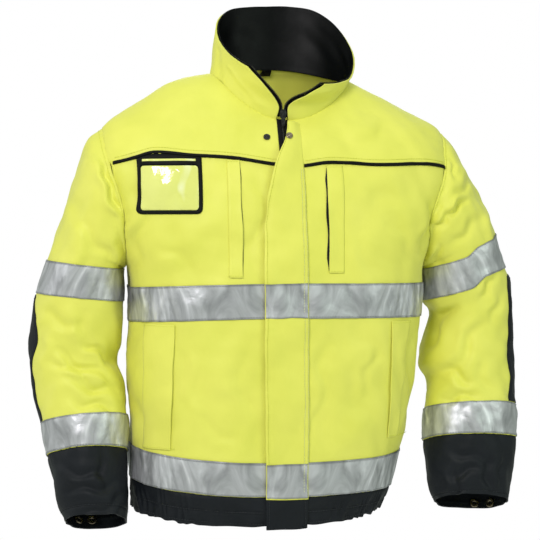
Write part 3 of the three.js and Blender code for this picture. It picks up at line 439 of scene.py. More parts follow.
bodyCreases = table("face x0 z0 x1 z1 width depth", [
    [1, -232, -120, -205, -196, 12, -4], [1, -218, -330, -208, -545, 8, -4], [1, -120, -215, -60, -235, 16, 2],
    [1, 120, -190, 200, -165, 16, -2.4], [1, -110, -440, -60, -470, 18, 2.6], [1, 90, -430, 130, -520, 16, -2.6],
    [1, 205, -380, 186, -540, 8, -4], [1, -205, -205, -218, -285, 7, -4.5], [1, 226, -190, 212, -262, 7, -4.5],
    [1, -190, -250, -140, -285, 8, -1.8], [1, 150, -215, 196, -272, 8, -2], [1, -60, -390, -50, -540, 9, -2.2],
    [1, 66, -380, 50, -520, 10, -2.2], [1, 140, -400, 118, -480, 7, -1.8], [1, -130, -500, -70, -540, 8, -2],
    [1, -190, -60, -120, -96, 10, -2], [1, 180, -62, 110, -100, 10, -2], [1, -44, -150, -50, -295, 8, -1.8],
    [1, 96, -230, 140, -300, 9, -1.6], [1, -150, -400, -130, -500, 8, 1.6], [1, 44, -420, 42, -556, 6, -1.6],
    [1, -30, -60, -70, -100, 8, -1.4], [1, 60, -70, 100, -112, 8, -1.4], [1, 100, -390, 150, -420, 8, -1.6],
    [-1, -150, -150, -60, -190, 16, -4], [-1, 150, -150, 60, -190, 16, -4], [-1, -120, -420, -40, -470, 16, 3.5],
    [-1, 130, -400, 60, -480, 16, 3.5], [-1, -200, -330, -170, -520, 10, -4], [-1, 200, -330, 170, -520, 10, -4],
    [-1, -190, -90, -150, -250, 10, -3.6], [-1, 190, -90, 154, -250, 10, -3.6], [-1, -70, -230, 70, -252, 9, -2.4],
    [-1, -90, -380, 40, -400, 8, 2], [-1, -160, -560, -100, -470, 8, 2.4], [-1, 150, -560, 96, -480, 8, 2.4],
    [-1, -20, -520, 50, -540, 8, -2], [-1, -110, -260, -40, -290, 9, -2.2], [-1, 120, -270, 30, -296, 9, -2.2],
])


def bodyForm(a, s):
    ring = readTable(bodyRings, s)
    c, k = np.cos(a), np.sin(a)
    reach = (np.abs(c) ** ring["power"] + np.abs(k) ** ring["power"]) ** (-1 / ring["power"])
    half = np.where(k < 0, ring["right"], ring["left"])
    depth = np.where(c > 0, ring["front"], ring["back"])
    side = np.where(k < 0, ring["zRight"], ring["zLeft"])
    end = np.where(c > 0, ring["zFront"], ring["zBack"])
    point = stack(ring["x"] + half * k * reach, ring["y"] - depth * c * reach, side + (end - side) * c * c)
    return point, unit(stack(k / half, -c / depth, 0 * c))


def bodySkin(a, s):
    point, out = bodyForm(a, s)
    push = creasePush(bodyCreases, point, out[:, 1]) + drape(point) * smooth(0, 1.2, s)
    return point + out * push[:, None]


def bodyOut(a, s):
    held = np.clip(s, 0.03, 11.97)
    da = bodySkin(a + 0.012, held) - bodySkin(a - 0.012, held)
    ds = bodySkin(a, held + 0.025) - bodySkin(a, held - 0.025)
    return -unit(np.cross(da, ds))


def angleAtX(x, s):
    ring = readTable(bodyRings, s)
    return np.arctan((x - ring["x"]) / np.where(x < ring["x"], ring["right"], ring["left"]))


def ringWhere(a, height, low=0.0, high=12.0):
    start, stop = np.full(a.shape, low), np.full(a.shape, high)
    for _ in range(26):
        middle = (start + stop) / 2
        point, _out = bodyForm(a, middle)
        above = point[:, 2] > height(point)
        start, stop = np.where(above, middle, start), np.where(above, stop, middle)
    return (start + stop) / 2


def levelRing(a, level):
    c = np.cos(a)
    side = np.where(np.sin(a) < 0, level["right"], level["left"])
    end = np.where(c > 0, level["front"], level["back"])
    return ringWhere(a, lambda p: side + (end - side) * c * c)


def pipeRing(a):
    return ringWhere(a, lambda p: readTable(pipeLine, np.clip(p[:, 0], -261, 261))["z"])


# Angle and ring of the front where it shows at x and z
def frontPlace(x, z):
    s = np.full(x.shape, 5.0)
    for _ in range(8):
        ring = readTable(bodyRings, s)
        share = (x - ring["x"]) / np.where(x < ring["x"], ring["right"], ring["left"])
        size = np.clip(np.abs(share), 0, 0.9995)
        a = np.arctan(np.sign(share) * size / (1 - size ** ring["power"]) ** (1 / ring["power"]))
        s = ringWhere(a, lambda p: z)
    return a, s


def frontSkin(x, z, lift=0.0):
    x, z = np.broadcast_arrays(np.asarray(x, float), np.asarray(z, float))
    a, s = frontPlace(x, z)
    out = bodyOut(a, s)
    return bodySkin(a, s) + out * np.reshape(lift + 0 * x, (-1, 1)), out


sign = {"right": -1, "left": 1}


def armholeAngle(side, phi):
    return sign[side] * (quarter - armholeSwing * np.sin(phi))


def armholeRing(phi):
    middle = (armholeTop + armholeLow) / 2
    return middle - (middle - armholeTop) * np.cos(phi)


def edgePhi(row):
    return np.where(row < 4, 0, 15 * (row - 4)) * degree


def edgeRing(row):
    return np.where(row < 4, 0.75 * row, armholeRing(edgePhi(row)))


def seamRing(a, side, u):
    phi = np.full(a.shape, 60 * degree)
    return pipeRing(a) + (armholeRing(phi) - pipeRing(armholeAngle(side, phi))) * u ** 4


# Places on each body panel: u across, v down
def frontAngle(side, edge, u, ringAt):
    start = angleAtX(zipEdge[side], ringAt(0 * u, 0 * u))
    return mix(start, edge, u + 0.07 * np.sin(2 * math.pi * u))


def yokePlace(side, u, v):
    row = v * 8

    def ringAt(a, across):
        inner = mix(pipeRing(a) * v, edgeRing(row), across ** 2)
        return mix(inner, seamRing(a, side, across), np.clip(row - 7, 0, 1))

    a = frontAngle(side, armholeAngle(side, edgePhi(row)), u, ringAt)
    return a, ringAt(a, u)


frontKnots = [0, 167, 187, 238, 448, 502]  # armhole end, tape top, tape low, hem tape top, hem seam
backKnots = [0, 300, 330, 381, 581, 631]


def lowerRing(a, down, knots):
    top, low = levelRing(a, chestTop), levelRing(a, chestLow)
    share = np.interp(down, knots[1:], [0, 1, 2, 3, 4])
    steps = [6 + 0 * a, top, low, 10 + 0 * a, 11 + 0 * a]
    ring = steps[0]
    for n in range(4):
        ring = ring + (steps[n + 1] - steps[n]) * np.clip(share - n, 0, 1)
    return ring


def frontPlaceOn(side, u, v):
    down = v * frontKnots[-1]
    share = np.clip(down / frontKnots[1], 0, 1)
    phi = (60 + 120 * share) * degree

    def ringAt(a, across):
        inner = mix(mix(pipeRing(a), armholeLow, share), armholeRing(phi), across ** 2)
        upper = mix(inner, seamRing(a, side, across), np.clip(1 - 8 * share, 0, 1))
        return np.where(share < 1, upper, lowerRing(a, down, frontKnots))

    a = frontAngle(side, armholeAngle(side, phi), u, ringAt)
    return a, ringAt(a, u)


def backPlaceOn(u, v):
    down = v * backKnots[-1]
    share = np.clip(down / backKnots[1], 0, 1)
    row = share * 16
    phi = edgePhi(row)
    swing = quarter + armholeSwing * np.sin(phi)
    a = mix(swing, 2 * math.pi - swing, u)
    upper = armholeLow * mix(share, edgeRing(row) / armholeLow, (2 * u - 1) ** 2)
    return a, np.where(share < 1, upper, lowerRing(a, down, backKnots))


def hemPlace(side, u, v):
    s = 11 + v
    a = frontAngle(side, sign[side] * quarter, u, lambda _a, _u: s)
    return a, s


def hemBackPlace(u, v):
    return mix(quarter, 3 * quarter, u), 11 + v


# Making cloth pieces
made = {}


def closeEdges(t, count, length):
    near = np.minimum(np.array([0, 1.2, 3.2, 6.5]) / length, np.arange(4) / count)
    steps = [0, 1, 2, 3, count - 3, count - 2, count - 1, count]
    return np.interp(t * count, steps, [*near, *(1 - near[::-1])])


def setPiece(name, mesh, look, nodes, wall=0.0, body="jacket"):
    piece = bpy.data.objects.new(name, mesh)
    bpy.context.collection.objects.link(piece)
    mesh.materials.append(looks[look])
    for face in mesh.polygons:
        face.use_smooth = True
    if wall:
        solid = piece.modifiers.new("wall", "SOLIDIFY")
        solid.thickness, solid.offset = wall * mm, -1
        solid.use_even_offset = False
    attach(piece, body)
    if nodes:
        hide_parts(*nodes)
    made[name] = piece
    return piece


def makeCloth(name, node, spec, shape, look, around=False):
    columns, rows = spec["grid"]
    width, length = spec["size"]
    bm = bmesh.new()
    bmesh.ops.create_grid(bm, x_segments=columns, y_segments=rows, size=0.5)
    bm.verts.ensure_lookup_table()
    spread = np.array([v.co.xy for v in bm.verts]) + 0.5
    u = spread[:, 0] if around else closeEdges(spread[:, 0], columns, width)
    v = closeEdges(1 - spread[:, 1], rows, length)
    point, out = shape(u, v)
    for vert, place in zip(bm.verts, point * mm):
        vert.co = place
    bm.normal_update()
    facing = sum(face.normal.dot(Vector(out[face.verts[0].index])) for face in bm.faces)
    if facing < 0:
        bmesh.ops.reverse_faces(bm, faces=bm.faces)
    uv = bm.loops.layers.uv.new("cloth")
    for face in bm.faces:
        for loop in face.loops:
            i = loop.vert.index
            loop[uv].uv = (u[i] * width * mm, v[i] * length * mm)
    if around:
        bmesh.ops.remove_doubles(bm, verts=bm.verts, dist=1e-5)
    mesh = bpy.data.meshes.new(name)
    bm.to_mesh(mesh)
    bm.free()
    return setPiece(name, mesh, look, [node], spec["wall"])


# Roll of the cloth into a seam along the named borders of a panel
def seamSink(u, v, spec, borders):
    width, length = spec["size"]
    away = {"start": u * width, "end": (1 - u) * width, "top": v * length, "low": (1 - v) * length}
    sink = np.zeros(u.shape)
    for border in borders:
        sink += spec.get("seam", 1.1) * np.exp(-((away[border] / 2.6) ** 2))
    return sink


# Small puckers where thread gathers the cloth along a border
def puckers(u, v, spec, borders, size=0.35, pitch=13.0):
    width, length = spec["size"]
    out = np.zeros(u.shape)
    for border in borders:
        away = {"start": u * width, "end": (1 - u) * width, "top": v * length, "low": (1 - v) * length}[border]
        along = v * length if border in ("start", "end") else u * width
        ripple = np.sin(2 * math.pi * along / pitch + 2.2 * np.sin(along / 31.0) + 1.3 * np.sin(along / 12.7))
        out += size * ripple * np.exp(-((away / 11.0) ** 2)) * (0.6 + 0.4 * np.sin(along / 47.0))
    return out


def bodyPanel(place, spec, seams, lift=0.0):
    def shape(u, v):
        a, s = place(u, v)
        out = bodyOut(a, s)
        rise = lift - seamSink(u, v, spec, seams) + puckers(u, v, spec, seams)
        return bodySkin(a, s) + out * np.reshape(rise, (-1, 1)), out

    return shape


threads = {"yellowThread": [], "paleThread": [], "greyThread": [], "darkThread": []}


def sew(thread, point, out):
    threads[thread].append((np.asarray(point), np.asarray(out)))


def line(start, stop, count=60):
    return np.linspace(start, stop, count)


def sewBody(thread, a, s, lift):
    a, s = np.broadcast_arrays(np.asarray(a, float), np.asarray(s, float))
    out = bodyOut(a, s)
    sew(thread, bodySkin(a, s) + out * lift, out)


def sewFront(thread, x, z, lift):
    point, out = frontSkin(x, z, lift)
    sew(thread, point, out)


# Yokes, fronts and back
yokeCloth = {"grid": (80, 56), "size": (300, 175), "wall": 2.0, "seam": 0.5, "flat": (265, 185, 35500)}
frontCloth = {"grid": (112, 180), "size": (300, 502), "wall": 2.0, "seam": 0.5, "flat": (302, 530, 137000)}
backCloth = {"grid": (130, 140), "size": (560, 631), "wall": 2.0, "seam": 0.6, "flat": (630, 700, 370000)}
for side in ("right", "left"):
    yoke = makeCloth(f"yoke_{side}_cloth", f"yoke_{side}", yokeCloth,
                     bodyPanel(lambda u, v: yokePlace(side, u, v), yokeCloth, ("top", "low", "end")), "yellowShell")
    front = makeCloth(f"front_{side}_cloth", f"front_{side}", frontCloth,
                      bodyPanel(lambda u, v: frontPlaceOn(side, u, v), frontCloth, ("top", "low", "end")),
                      "yellowShell")
back = makeCloth("back_cloth", "back", backCloth,
                 bodyPanel(backPlaceOn, backCloth, ("top", "low", "start", "end")), "yellowShell")
print("stage: body panels made")

# Hem band
hemCloth = {
    "grid": (150, 24), "size": (290, 48), "wall": 2.2, "seam": 1.0,
    "flat": {"right": (290, 47), "left": (248, 42)},
}
hemBackCloth = {"grid": (220, 24), "size": (560, 48), "wall": 2.2, "seam": 1.0, "flat": (552, 44)}


def hemShape(place, spec, seams):
    def shape(u, v):
        a, s = place(u, v)
        out = bodyOut(a, s)
        width = spec["size"][0]
        along = u * width
        tunnel = -1.0 * np.exp(-(((v - 0.52) / 0.05) ** 2))
        gather = 1.5 * np.sin(along / 4.1 + 1.9 * np.sin(along / 17.0)) * smooth(0.45, 1.0, v)
        gather += 1.1 * np.sin(along / 3.0 + 2.4 * np.sin(along / 9.0) + 3 * v) * np.sin(np.clip(v, 0, 1) * math.pi)
        gather += 1.4 * np.sin(along / 13.0 + 1.7 * np.sin(along / 37.0) + 2 * v) * smooth(0.0, 0.5, v)
        rise = tunnel + gather - seamSink(u, v, spec, seams)
        point = bodySkin(a, s) + out * np.reshape(rise, (-1, 1))
        point[:, 2] += (1.2 * np.sin(along / 23.0) + 0.8 * np.sin(along / 7.0)) * smooth(0.7, 1.0, v)
        return point, out

    return shape


for side in ("right", "left"):
    hem = makeCloth(f"hem_band_{side}_cloth", f"hem_band_{side}", hemCloth,
                    hemShape(lambda u, v: hemPlace(side, u, v), hemCloth, ("top", "end")), "darkShell")
hem = makeCloth("hem_band_back_cloth", "hem_band_back", hemBackCloth,
                hemShape(hemBackPlace, hemBackCloth, ("top", "start", "end")), "darkShell")
for s in (11.5, 11.88):
    sewBody("darkThread", line(-quarter, -0.12, 90), s, 0.1)
    sewBody("darkThread", line(0.16, quarter, 90), s, 0.1)
    sewBody("darkThread", line(quarter, 3 * quarter, 160), s, 0.1)
print("stage: hem made")

# Sleeves
sleeveNames = "t outX outZ inX inZ y depth tilt"
sleeveRings = {
    "right": table(sleeveNames, [
        [0, -260, -77, -226, -283, -5, 88, 0],
        [1, -282, -95, -227, -284.5, -5, 88, 0],
        [2, -296, -126, -227.5, -285.5, -4, 88, 0],
        [3, -311, -176, -228, -286, -2, 86, 0],
        [4, -328, -226, -229, -287, 0, 83, 0],
        [5, -344, -275, -230, -288, 2, 80, 0],
        [6, -360, -325, -229, -338, 5, 77, 1],
        [7, -367, -362, -230.5, -371, 8, 75, 2],
        [8, -370, -397, -235, -404, 10, 74, 3],
        [9, -370, -430, -240, -427, 10, 73, 6],
        [10, -365, -464, -230, -460, 3, 72, 10],
        [11, -360, -494, -227, -488, -5, 69, 14],
        [12, -354, -520, -226.5, -512, -14, 66, 15.5],
        [13, -345, -567, -226.5, -563, -28, 62, 18],
        [14, -337, -612, -227, -608, -43, 58, 19],
        [15, -331, -640, -227, -640, -53, 54, 21],
        [16, -323, -661, -230, -663, -62, 49, 24],
    ]),
    "left": table(sleeveNames, [
        [0, 255, -77, 227, -283, -5, 88, 0],
        [1, 272, -92, 228, -284.5, -5, 88, 0],
        [2, 289, -119, 228.5, -285.5, -4, 88, 0],
        [3, 311, -158, 229, -286, -2, 86, 0],
        [4, 336, -202, 230, -287, 0, 83, 0],
        [5, 352, -248, 232, -290, 2, 80, 0],
        [6, 369, -298, 238, -339, 5, 77, 1],
        [7, 377, -340, 253, -360, 8, 76, 2],
        [8, 380, -392, 243, -396, 10, 75, 3],
        [9, 381, -436, 236, -438, 9, 74, 6],
        [10, 382, -465, 247, -461, 4, 72, 10],
        [11, 381, -487, 243, -486, -2, 70, 13],
        [12, 380, -507, 240, -508, -8, 67, 14],
        [13, 379, -558, 235, -555, -22, 64, 15],
        [14, 371, -605, 237, -602, -33, 60, 17],
        [15, 364, -640, 242, -635, -42, 55, 19],
        [16, 361, -654, 246, -646, -47, 52, 22],
    ]),
}
sleeveCreases = table("face x0 z0 x1 z1 width depth", [
    [1, -262, -124, -248, -172, 6, -7], [1, -262, -146, -224, -214, 6, -9], [1, -246, -190, -226, -216, 5, -6],
    [1, -300, -215, -250, -268, 9, -5], [1, -240, -240, -232, -290, 8, -5], [1, -318, -445, -240, -470, 7, -5],
    [1, -296, -398, -246, -430, 6, -6], [1, -330, -405, -256, -452, 6, -6], [1, -350, -350, -296, -374, 8, -4],
    [1, -340, -424, -270, -468, 5, -3.5], [1, -290, -240, -300, -300, 9, -3], [1, -310, -480, -250, -496, 6, -4],
    [1, -345, -390, -352, -440, 7, 3], [1, -330, -150, -300, -210, 9, -3], [1, -300, -345, -280, -400, 8, -3],
    [1, 246, -160, 226, -198, 5, -8], [1, 240, -187, 224, -214, 5, -7], [1, 286, -184, 252, -207, 5, -8],
    [1, 252, -207, 222, -242, 6, -8], [1, 300, -150, 262, -176, 7, -5], [1, 265, -124, 267, -152, 5, -5],
    [1, 336, -300, 312, -333, 6, -6], [1, 274, -350, 222, -424, 6, -10], [1, 318, -372, 262, -446, 8, -5],
    [1, 346, -330, 330, -372, 7, -4], [1, 258, -442, 300, -466, 7, -5], [1, 256, -492, 300, -482, 6, -5],
    [1, 350, -380, 362, -440, 9, -3], [1, 330, -200, 322, -262, 8, 3.5], [1, 300, -214, 262, -250, 7, -4],
    [1, 240, -250, 250, -286, 6, -4], [1, 310, -420, 330, -490, 9, -3],
    [1, -330, -574, -258, -590, 6, -4], [1, -320, -612, -250, -600, 6, -4], [1, -300, -646, -238, -618, 6, -4],
    [1, -268, -562, -262, -610, 6, -4], [1, 262, -566, 320, -586, 6, -4], [1, 262, -604, 306, -590, 6, -4],
    [1, 316, -570, 326, -634, 7, -4], [1, 268, -590, 262, -640, 6, -4], [1, 348, -576, 338, -628, 6, -3],
    [-1, -320, -400, -245, -430, 6, -6], [-1, -330, -440, -250, -452, 6, -5], [-1, -270, -150, -236, -215, 7, -7],
    [-1, -300, -215, -262, -262, 7, -5], [-1, -340, -340, -290, -368, 7, -5], [-1, -300, -590, -290, -640, 6, -4],
    [-1, 320, -400, 240, -436, 6, -6], [-1, 340, -445, 255, -458, 6, -5], [-1, 275, -150, 236, -215, 7, -7],
    [-1, 310, -205, 262, -262, 7, -5], [-1, 355, -330, 300, -360, 7, -5], [-1, 310, -590, 300, -635, 6, -4],
    [-1, -350, -480, -280, -500, 7, -4], [-1, 360, -480, 290, -498, 7, -4], [-1, -320, -150, -290, -200, 8, -4],
    [-1, 330, -160, 300, -205, 8, -4],
])
armPower = 2.15


def sleeveForm(side, t, phi):
    ring = readTable(sleeveRings[side], t)
    c, k = np.cos(phi), np.sin(phi)
    reach = (np.abs(c) ** armPower + np.abs(k) ** armPower) ** (-1 / armPower)
    tilt = ring["tilt"] * degree
    middle = stack((ring["outX"] + ring["inX"]) / 2, ring["y"], (ring["outZ"] + ring["inZ"]) / 2)
    across = stack((ring["outX"] - ring["inX"]) / 2, 0 * t, (ring["outZ"] - ring["inZ"]) / 2)
    forward = stack(0 * t, -np.cos(tilt), np.sin(tilt)) * ring["depth"][:, None]
    arm = across * (c * reach)[:, None] + forward * (k * reach)[:, None]
    return middle + arm, unit(arm)


def sleeveSkin(side, t, phi):
    point, out = sleeveForm(side, t, phi)
    near = (1 - smooth(0, 1.6, t))[:, None]
    root, _out = sleeveForm(side, 0 * t, phi)
    point = point + (bodySkin(armholeAngle(side, phi), armholeRing(phi)) - root) * near
    push = (creasePush(sleeveCreases, point, out[:, 1]) + drape(point * 1.25)) * smooth(0, 1, t)
    return point + out * push[:, None]


def sleeveOut(side, t, phi):
    held = np.clip(t, 0.12, 15.88)
    dt = sleeveSkin(side, held + 0.1, phi) - sleeveSkin(side, held - 0.1, phi)
    turn = sleeveSkin(side, held, phi + 0.05) - sleeveSkin(side, held, phi - 0.05)
    return unit(np.cross(dt, turn)) * sign[side] * -1


def sleevePanel(side, first, last, spec, seams, lift=0.0, extra=None):
    def shape(u, v):
        t, phi = mix(first, last, v), u * 2 * math.pi
        out = sleeveOut(side, t, phi)
        rise = lift - seamSink(u, v, spec, seams) + puckers(u, v, spec, seams)
        if extra:
            rise = rise + extra(u, v)
        return sleeveSkin(side, t, phi) + out * np.reshape(rise, (-1, 1)), out

    return shape


sleeveCloth = {"grid": (168, 168), "size": (500, 500), "wall": 2.0, "seam": 0.8, "flat": (520, 530, 190000)}
cuffCloth = {
    "grid": (130, 36), "size": (330, 100), "wall": 2.2, "seam": 0.8,
    "flat": {"right": (385, 108, 37600), "left": (430, 103, 40100)},
}


def cuffFold(u, v):
    turned = -0.9 * np.exp(-(((v - 0.79) / 0.02) ** 2))
    ripple = 0.7 * np.sin(u * 48 + 2.0 * np.sin(u * 13)) * smooth(0.8, 1.0, v)
    return turned + ripple


def sewSleeve(thread, side, t, phi, lift):
    t, phi = np.broadcast_arrays(np.asarray(t, float), np.asarray(phi, float))
    out = sleeveOut(side, t, phi)
    sew(thread, sleeveSkin(side, t, phi) + out * lift, out)


for side in ("right", "left"):
    sleeve = makeCloth(f"sleeve_{side}_cloth", f"sleeve_{side}", sleeveCloth,
                       sleevePanel(side, -0.04, 13, sleeveCloth, ("top", "low")), "yellowShell", around=True)
    cuff = makeCloth(f"cuff_{side}_cloth", f"cuff_{side}", cuffCloth,
                     sleevePanel(side, 13, 16, cuffCloth, ("top",), extra=cuffFold), "darkShell", around=True)
    turn = line(0, 2 * math.pi, 120)
    sewSleeve("darkThread", side, 15.35, turn, 0.0)
    sewSleeve("yellowThread", side, 0.22, turn, 0.2)
print("stage: sleeves made")

# Elbow panels
elbowSpan = {
    "right": table("t front back", [
        [6, 3, -72], [6.5, 14, -77], [7, 26, -82], [8, 31, -88], [9, 22, -89], [10, 17, -88], [11, 15, -84],
        [12, 16, -80],
    ]),
    "left": table("t front back", [
        [6, 36, -78], [7, 45, -82], [8, 45, -84], [9, 45, -86], [10, 45, -84], [11, 45, -82], [12, 46, -80],
    ]),
}
elbowCloth = {
    "grid": (34, 46), "size": (140, 200), "wall": 1.0, "start": {"right": 6.06, "left": 6.05},
    "flat": {"right": (155, 216, 27800), "left": (176, 221, 35200)},
}
for side in ("right", "left"):
    def elbowPlace(u, v):
        t = mix(elbowCloth["start"][side], 11.96, v)
        span = readTable(elbowSpan[side], t)
        return t, mix(span["back"], span["front"], u) * degree

    def elbowShape(u, v):
        t, phi = elbowPlace(u, v)
        out = sleeveOut(side, t, phi)
        rise = 1.9 - 0.8 * seamSink(u, v, {"size": elbowCloth["size"], "seam": 1.0}, ("top", "start", "end"))
        return sleeveSkin(side, t, phi) + out * np.reshape(rise, (-1, 1)), out

    elbow = makeCloth(f"elbow_panel_{side}_cloth", f"elbow_panel_{side}", elbowCloth, elbowShape, "darkShell")
    for u, v in ((0.04, line(0.02, 0.99)), (0.96, line(0.02, 0.99)), (line(0.04, 0.96), 0.025)):
        u, v = np.broadcast_arrays(u, v)
        t, phi = elbowPlace(u, v)
        sewSleeve("darkThread", side, t, phi, 2.0)

# Reflective tape
tapeCloth = {"wall": 0.6}


def crumple(along, across):
    skew = along + 0.45 * across
    h = 0.34 * np.sin(skew / 6.1 + 1.7 * np.sin(along / 23.0))
    h += 0.26 * np.sin((along - 0.7 * across) / 9.3 + 1.2 * np.sin(along / 31.0 + 1))
    h += 0.16 * np.sin((along * 0.6 + 1.6 * across) / 5.2 + 0.9 * np.sin(along / 13.0))
    edge = np.minimum(across, 50 - across)
    h += 0.3 * np.sin(along / 2.1 + 1.5 * np.sin(along / 11.0)) * np.exp(-((edge / 6) ** 2))
    return h


def bodyTape(name, node, place, columns, width, rows=16):
    spec = {"grid": (columns, rows), "size": (width, 50), **tapeCloth}

    def shape(u, v):
        a, s = place(u, v)
        out = bodyOut(a, s)
        rise = 1.35 + 0.75 * crumple(u * width, v * 50)
        return bodySkin(a, s) + out * np.reshape(rise, (-1, 1)), out

    piece = makeCloth(name, node, spec, shape, "reflectiveTape")
    for v in (0.045, 0.955):
        a, s = place(line(0.004, 0.996, 140), np.full(140, v))
        sewBody("greyThread", a, s, 1.5)
    return piece


def frontTapePlace(side, first, last):
    return lambda u, v: frontPlaceOn(side, u, mix(first, last, v) / frontKnots[-1])


tapeLength = {"chest": {"right": 297, "left": 301, "back": 615}, "hem": {"right": 288, "left": 256, "back": 560}}
for band, knot in (("chest", 2), ("hem", 4)):
    first, last = frontKnots[knot], frontKnots[knot + 1] - (knot == 4)
    for side in ("right", "left"):
        length = tapeLength[band][side]
        tape = bodyTape(f"tape_{band}_{side}_cloth", f"tape_{band}_{side}", frontTapePlace(side, first, last), 96,
                        length)
    first, last = backKnots[knot], backKnots[knot + 1] - (knot == 4)
    length = tapeLength[band]["back"]
    tape = bodyTape(f"tape_{band}_back_cloth", f"tape_{band}_back",
                    lambda u, v: backPlaceOn(u, mix(first, last, v) / backKnots[-1]), 170, length)


def sleeveTape(side, band, first, last, width):
    spec = {"grid": (150, 16), "size": (width, 50), **tapeCloth}

    def bandPlace(u, v):
        t, phi = mix(first, last, v), u * 2 * math.pi
        if side == "left" and band == "arm":
            turn = np.where(phi > math.pi * 1.5, phi - 2 * math.pi, phi) / degree
            t = t - 0.24 * smooth(98, 74, turn) * smooth(-85, 15, turn)
        return t, phi

    def shape(u, v):
        t, phi = bandPlace(u, v)
        out = sleeveOut(side, t, phi)
        fade = 1 - np.exp(-((np.minimum(u, 1 - u) * width / 8) ** 2))
        rise = 1.35 + 0.8 * crumple(u * width, v * 50) * fade
        return sleeveSkin(side, t, phi) + out * np.reshape(rise, (-1, 1)), out

    tape = makeCloth(f"tape_{band}_{side}_cloth", f"tape_{band}_{side}", spec, shape, "reflectiveTape", around=True)
    for v in (0.045, 0.955):
        t, phi = bandPlace(line(0, 1, 120), v)
        sewSleeve("greyThread", side, t, phi, 1.5)


for side, armLength, wristLength in (("right", 458, 412), ("left", 480, 448)):
    sleeveTape(side, "arm", 5, 6, armLength)
    sleeveTape(side, "wrist", 12, 12.98, wristLength)
print("stage: tapes made")

# Collar
collarTop = table("angle x y z", [
    [-185, 12, 83, 119], [-165, -25, 77, 117], [-140, -61, 59, 110], [-115, -82, 29, 91],
    [-90, -86, -8, 62], [-60, -78, -45, 38], [-30, -66, -78, 21], [-6, -52, -100, 9],
])
collarTopLeft = table("angle x y z", [
    [3, 62, -100, -14], [30, 92, -76, -9], [60, 116, -38, 5], [90, 126, 4, 42],
    [115, 109, 40, 84], [140, 78, 67, 111], [165, 38, 81, 119], [185, -1, 83, 119],
])
collarEdges = {
    "right": table("v x y z", [[0, -9, -88, -66], [0.25, -7, -98, -47], [0.6, -28, -107, -20], [1, -52, -100, 9]]),
    "left": table("v x y z", [[0, 8, -88, -66], [0.25, 8, -98, -46], [0.6, 31, -108, -31], [1, 62, -100, -14]]),
}
collarEdgeSpan = 0.09


def collarAngle(u):
    zero = np.zeros(1)
    return mix(angleAtX(zipEdge["right"], zero)[0], angleAtX(zipEdge["left"], zero)[0] - 2 * math.pi, u)


def collarSkin(u, v):
    a = collarAngle(u)
    turn = a / degree
    rightTop = readTable(collarTop, np.clip(turn, -185, -6))
    leftTop = readTable(collarTopLeft, np.clip(turn + 360, 3, 185))
    low, _out = bodyForm(a, 0 * a)
    point = np.zeros((len(u), 3))
    for n, key in enumerate("xyz"):
        top = np.where(turn > -180, rightTop[key], leftTop[key])
        point[:, n] = mix(low[:, n], top, v)
    for side, rows, n in (("right", collarTop, -1), ("left", collarTopLeft, 0)):
        edge = readTable(collarEdges[side], v)
        away = u if side == "right" else 1 - u
        weight = np.exp(-((away / collarEdgeSpan) ** 2))
        for m, key in enumerate("xyz"):
            point[:, m] += weight * (edge[key] - mix(collarEdges[side][key][0], rows[key][n], v))
    return point


def collarOut(u, v):
    p, q = np.clip(u, 0.006, 0.994), np.clip(v, 0.03, 0.97)
    du = collarSkin(p + 0.006, q) - collarSkin(p - 0.006, q)
    dv = collarSkin(p, q + 0.03) - collarSkin(p, q - 0.03)
    return -unit(np.cross(du, dv))


collarCreases = table("u0 v0 u1 v1 width depth", [
    [0.16, 0.0, 0.2, 0.75, 0.018, -2.2], [0.05, 0.15, 0.12, 0.6, 0.016, 1.6], [0.3, 0.1, 0.26, 0.9, 0.03, 1.4],
    [0.42, 0.2, 0.44, 1.0, 0.03, -1.4], [0.55, 0.1, 0.57, 0.9, 0.03, 1.2], [0.68, 0.0, 0.64, 0.8, 0.025, -1.6],
    [0.8, 0.1, 0.84, 0.8, 0.02, -2.0], [0.9, 0.1, 0.94, 0.7, 0.018, 1.5],
])


def collarPush(u, v):
    push = np.zeros(u.shape)
    for u0, v0, u1, v1, width, depth in zip(*collarCreases.values()):
        du, dv = u1 - u0, (v1 - v0) * 0.25
        along = np.clip(((u - u0) * du + (v * 0.25 - v0 * 0.25) * dv) / (du * du + dv * dv), 0, 1)
        away = np.hypot(u - u0 - along * du, (v - v0) * 0.25 - along * dv)
        push += depth * np.exp(-((away / width) ** 2))
    return push + 0.5 * np.sin(u * 61 + v * 7) * np.sin(v * 3.1)


collarCloth = {"grid": (150, 40), "size": (560, 95), "wall": 2.0, "seam": 0.3, "flat": (630, 102, 39500)}
liningCloth = {"grid": (150, 40), "size": (545, 93), "wall": 1.2, "flat": (612, 105, 39400)}


def collarShape(u, v):
    down = mix(1, -0.016, v)
    out = collarOut(u, down)
    rise = 0.7 + collarPush(u, down) - seamSink(u, v, collarCloth, ("low",))
    rise = rise + puckers(u, v, collarCloth, ("low", "top"), 0.25)
    return collarSkin(u, down) + out * np.reshape(rise, (-1, 1)), out


def liningShape(u, v):
    down = mix(1.02, -0.02, v)
    out = collarOut(u, down)
    soft = np.sin(u * 31 + 4 * v + 1.3 * np.sin(u * 17)) * np.sin(v * 5.2)
    soft = soft + 0.6 * np.sin(u * 57 - 9 * v) * np.sin(v * 8)
    rise = -2.6 + 0.6 * collarPush(u, down) + 0.9 * soft * np.sin(v * math.pi)
    return collarSkin(u, down) + out * np.reshape(rise, (-1, 1)), out


collar = makeCloth("collar_cloth", "collar", collarCloth, collarShape, "yellowShell")
lining = makeCloth("collar_lining_cloth", "collar_lining", liningCloth, liningShape, "darkLining")


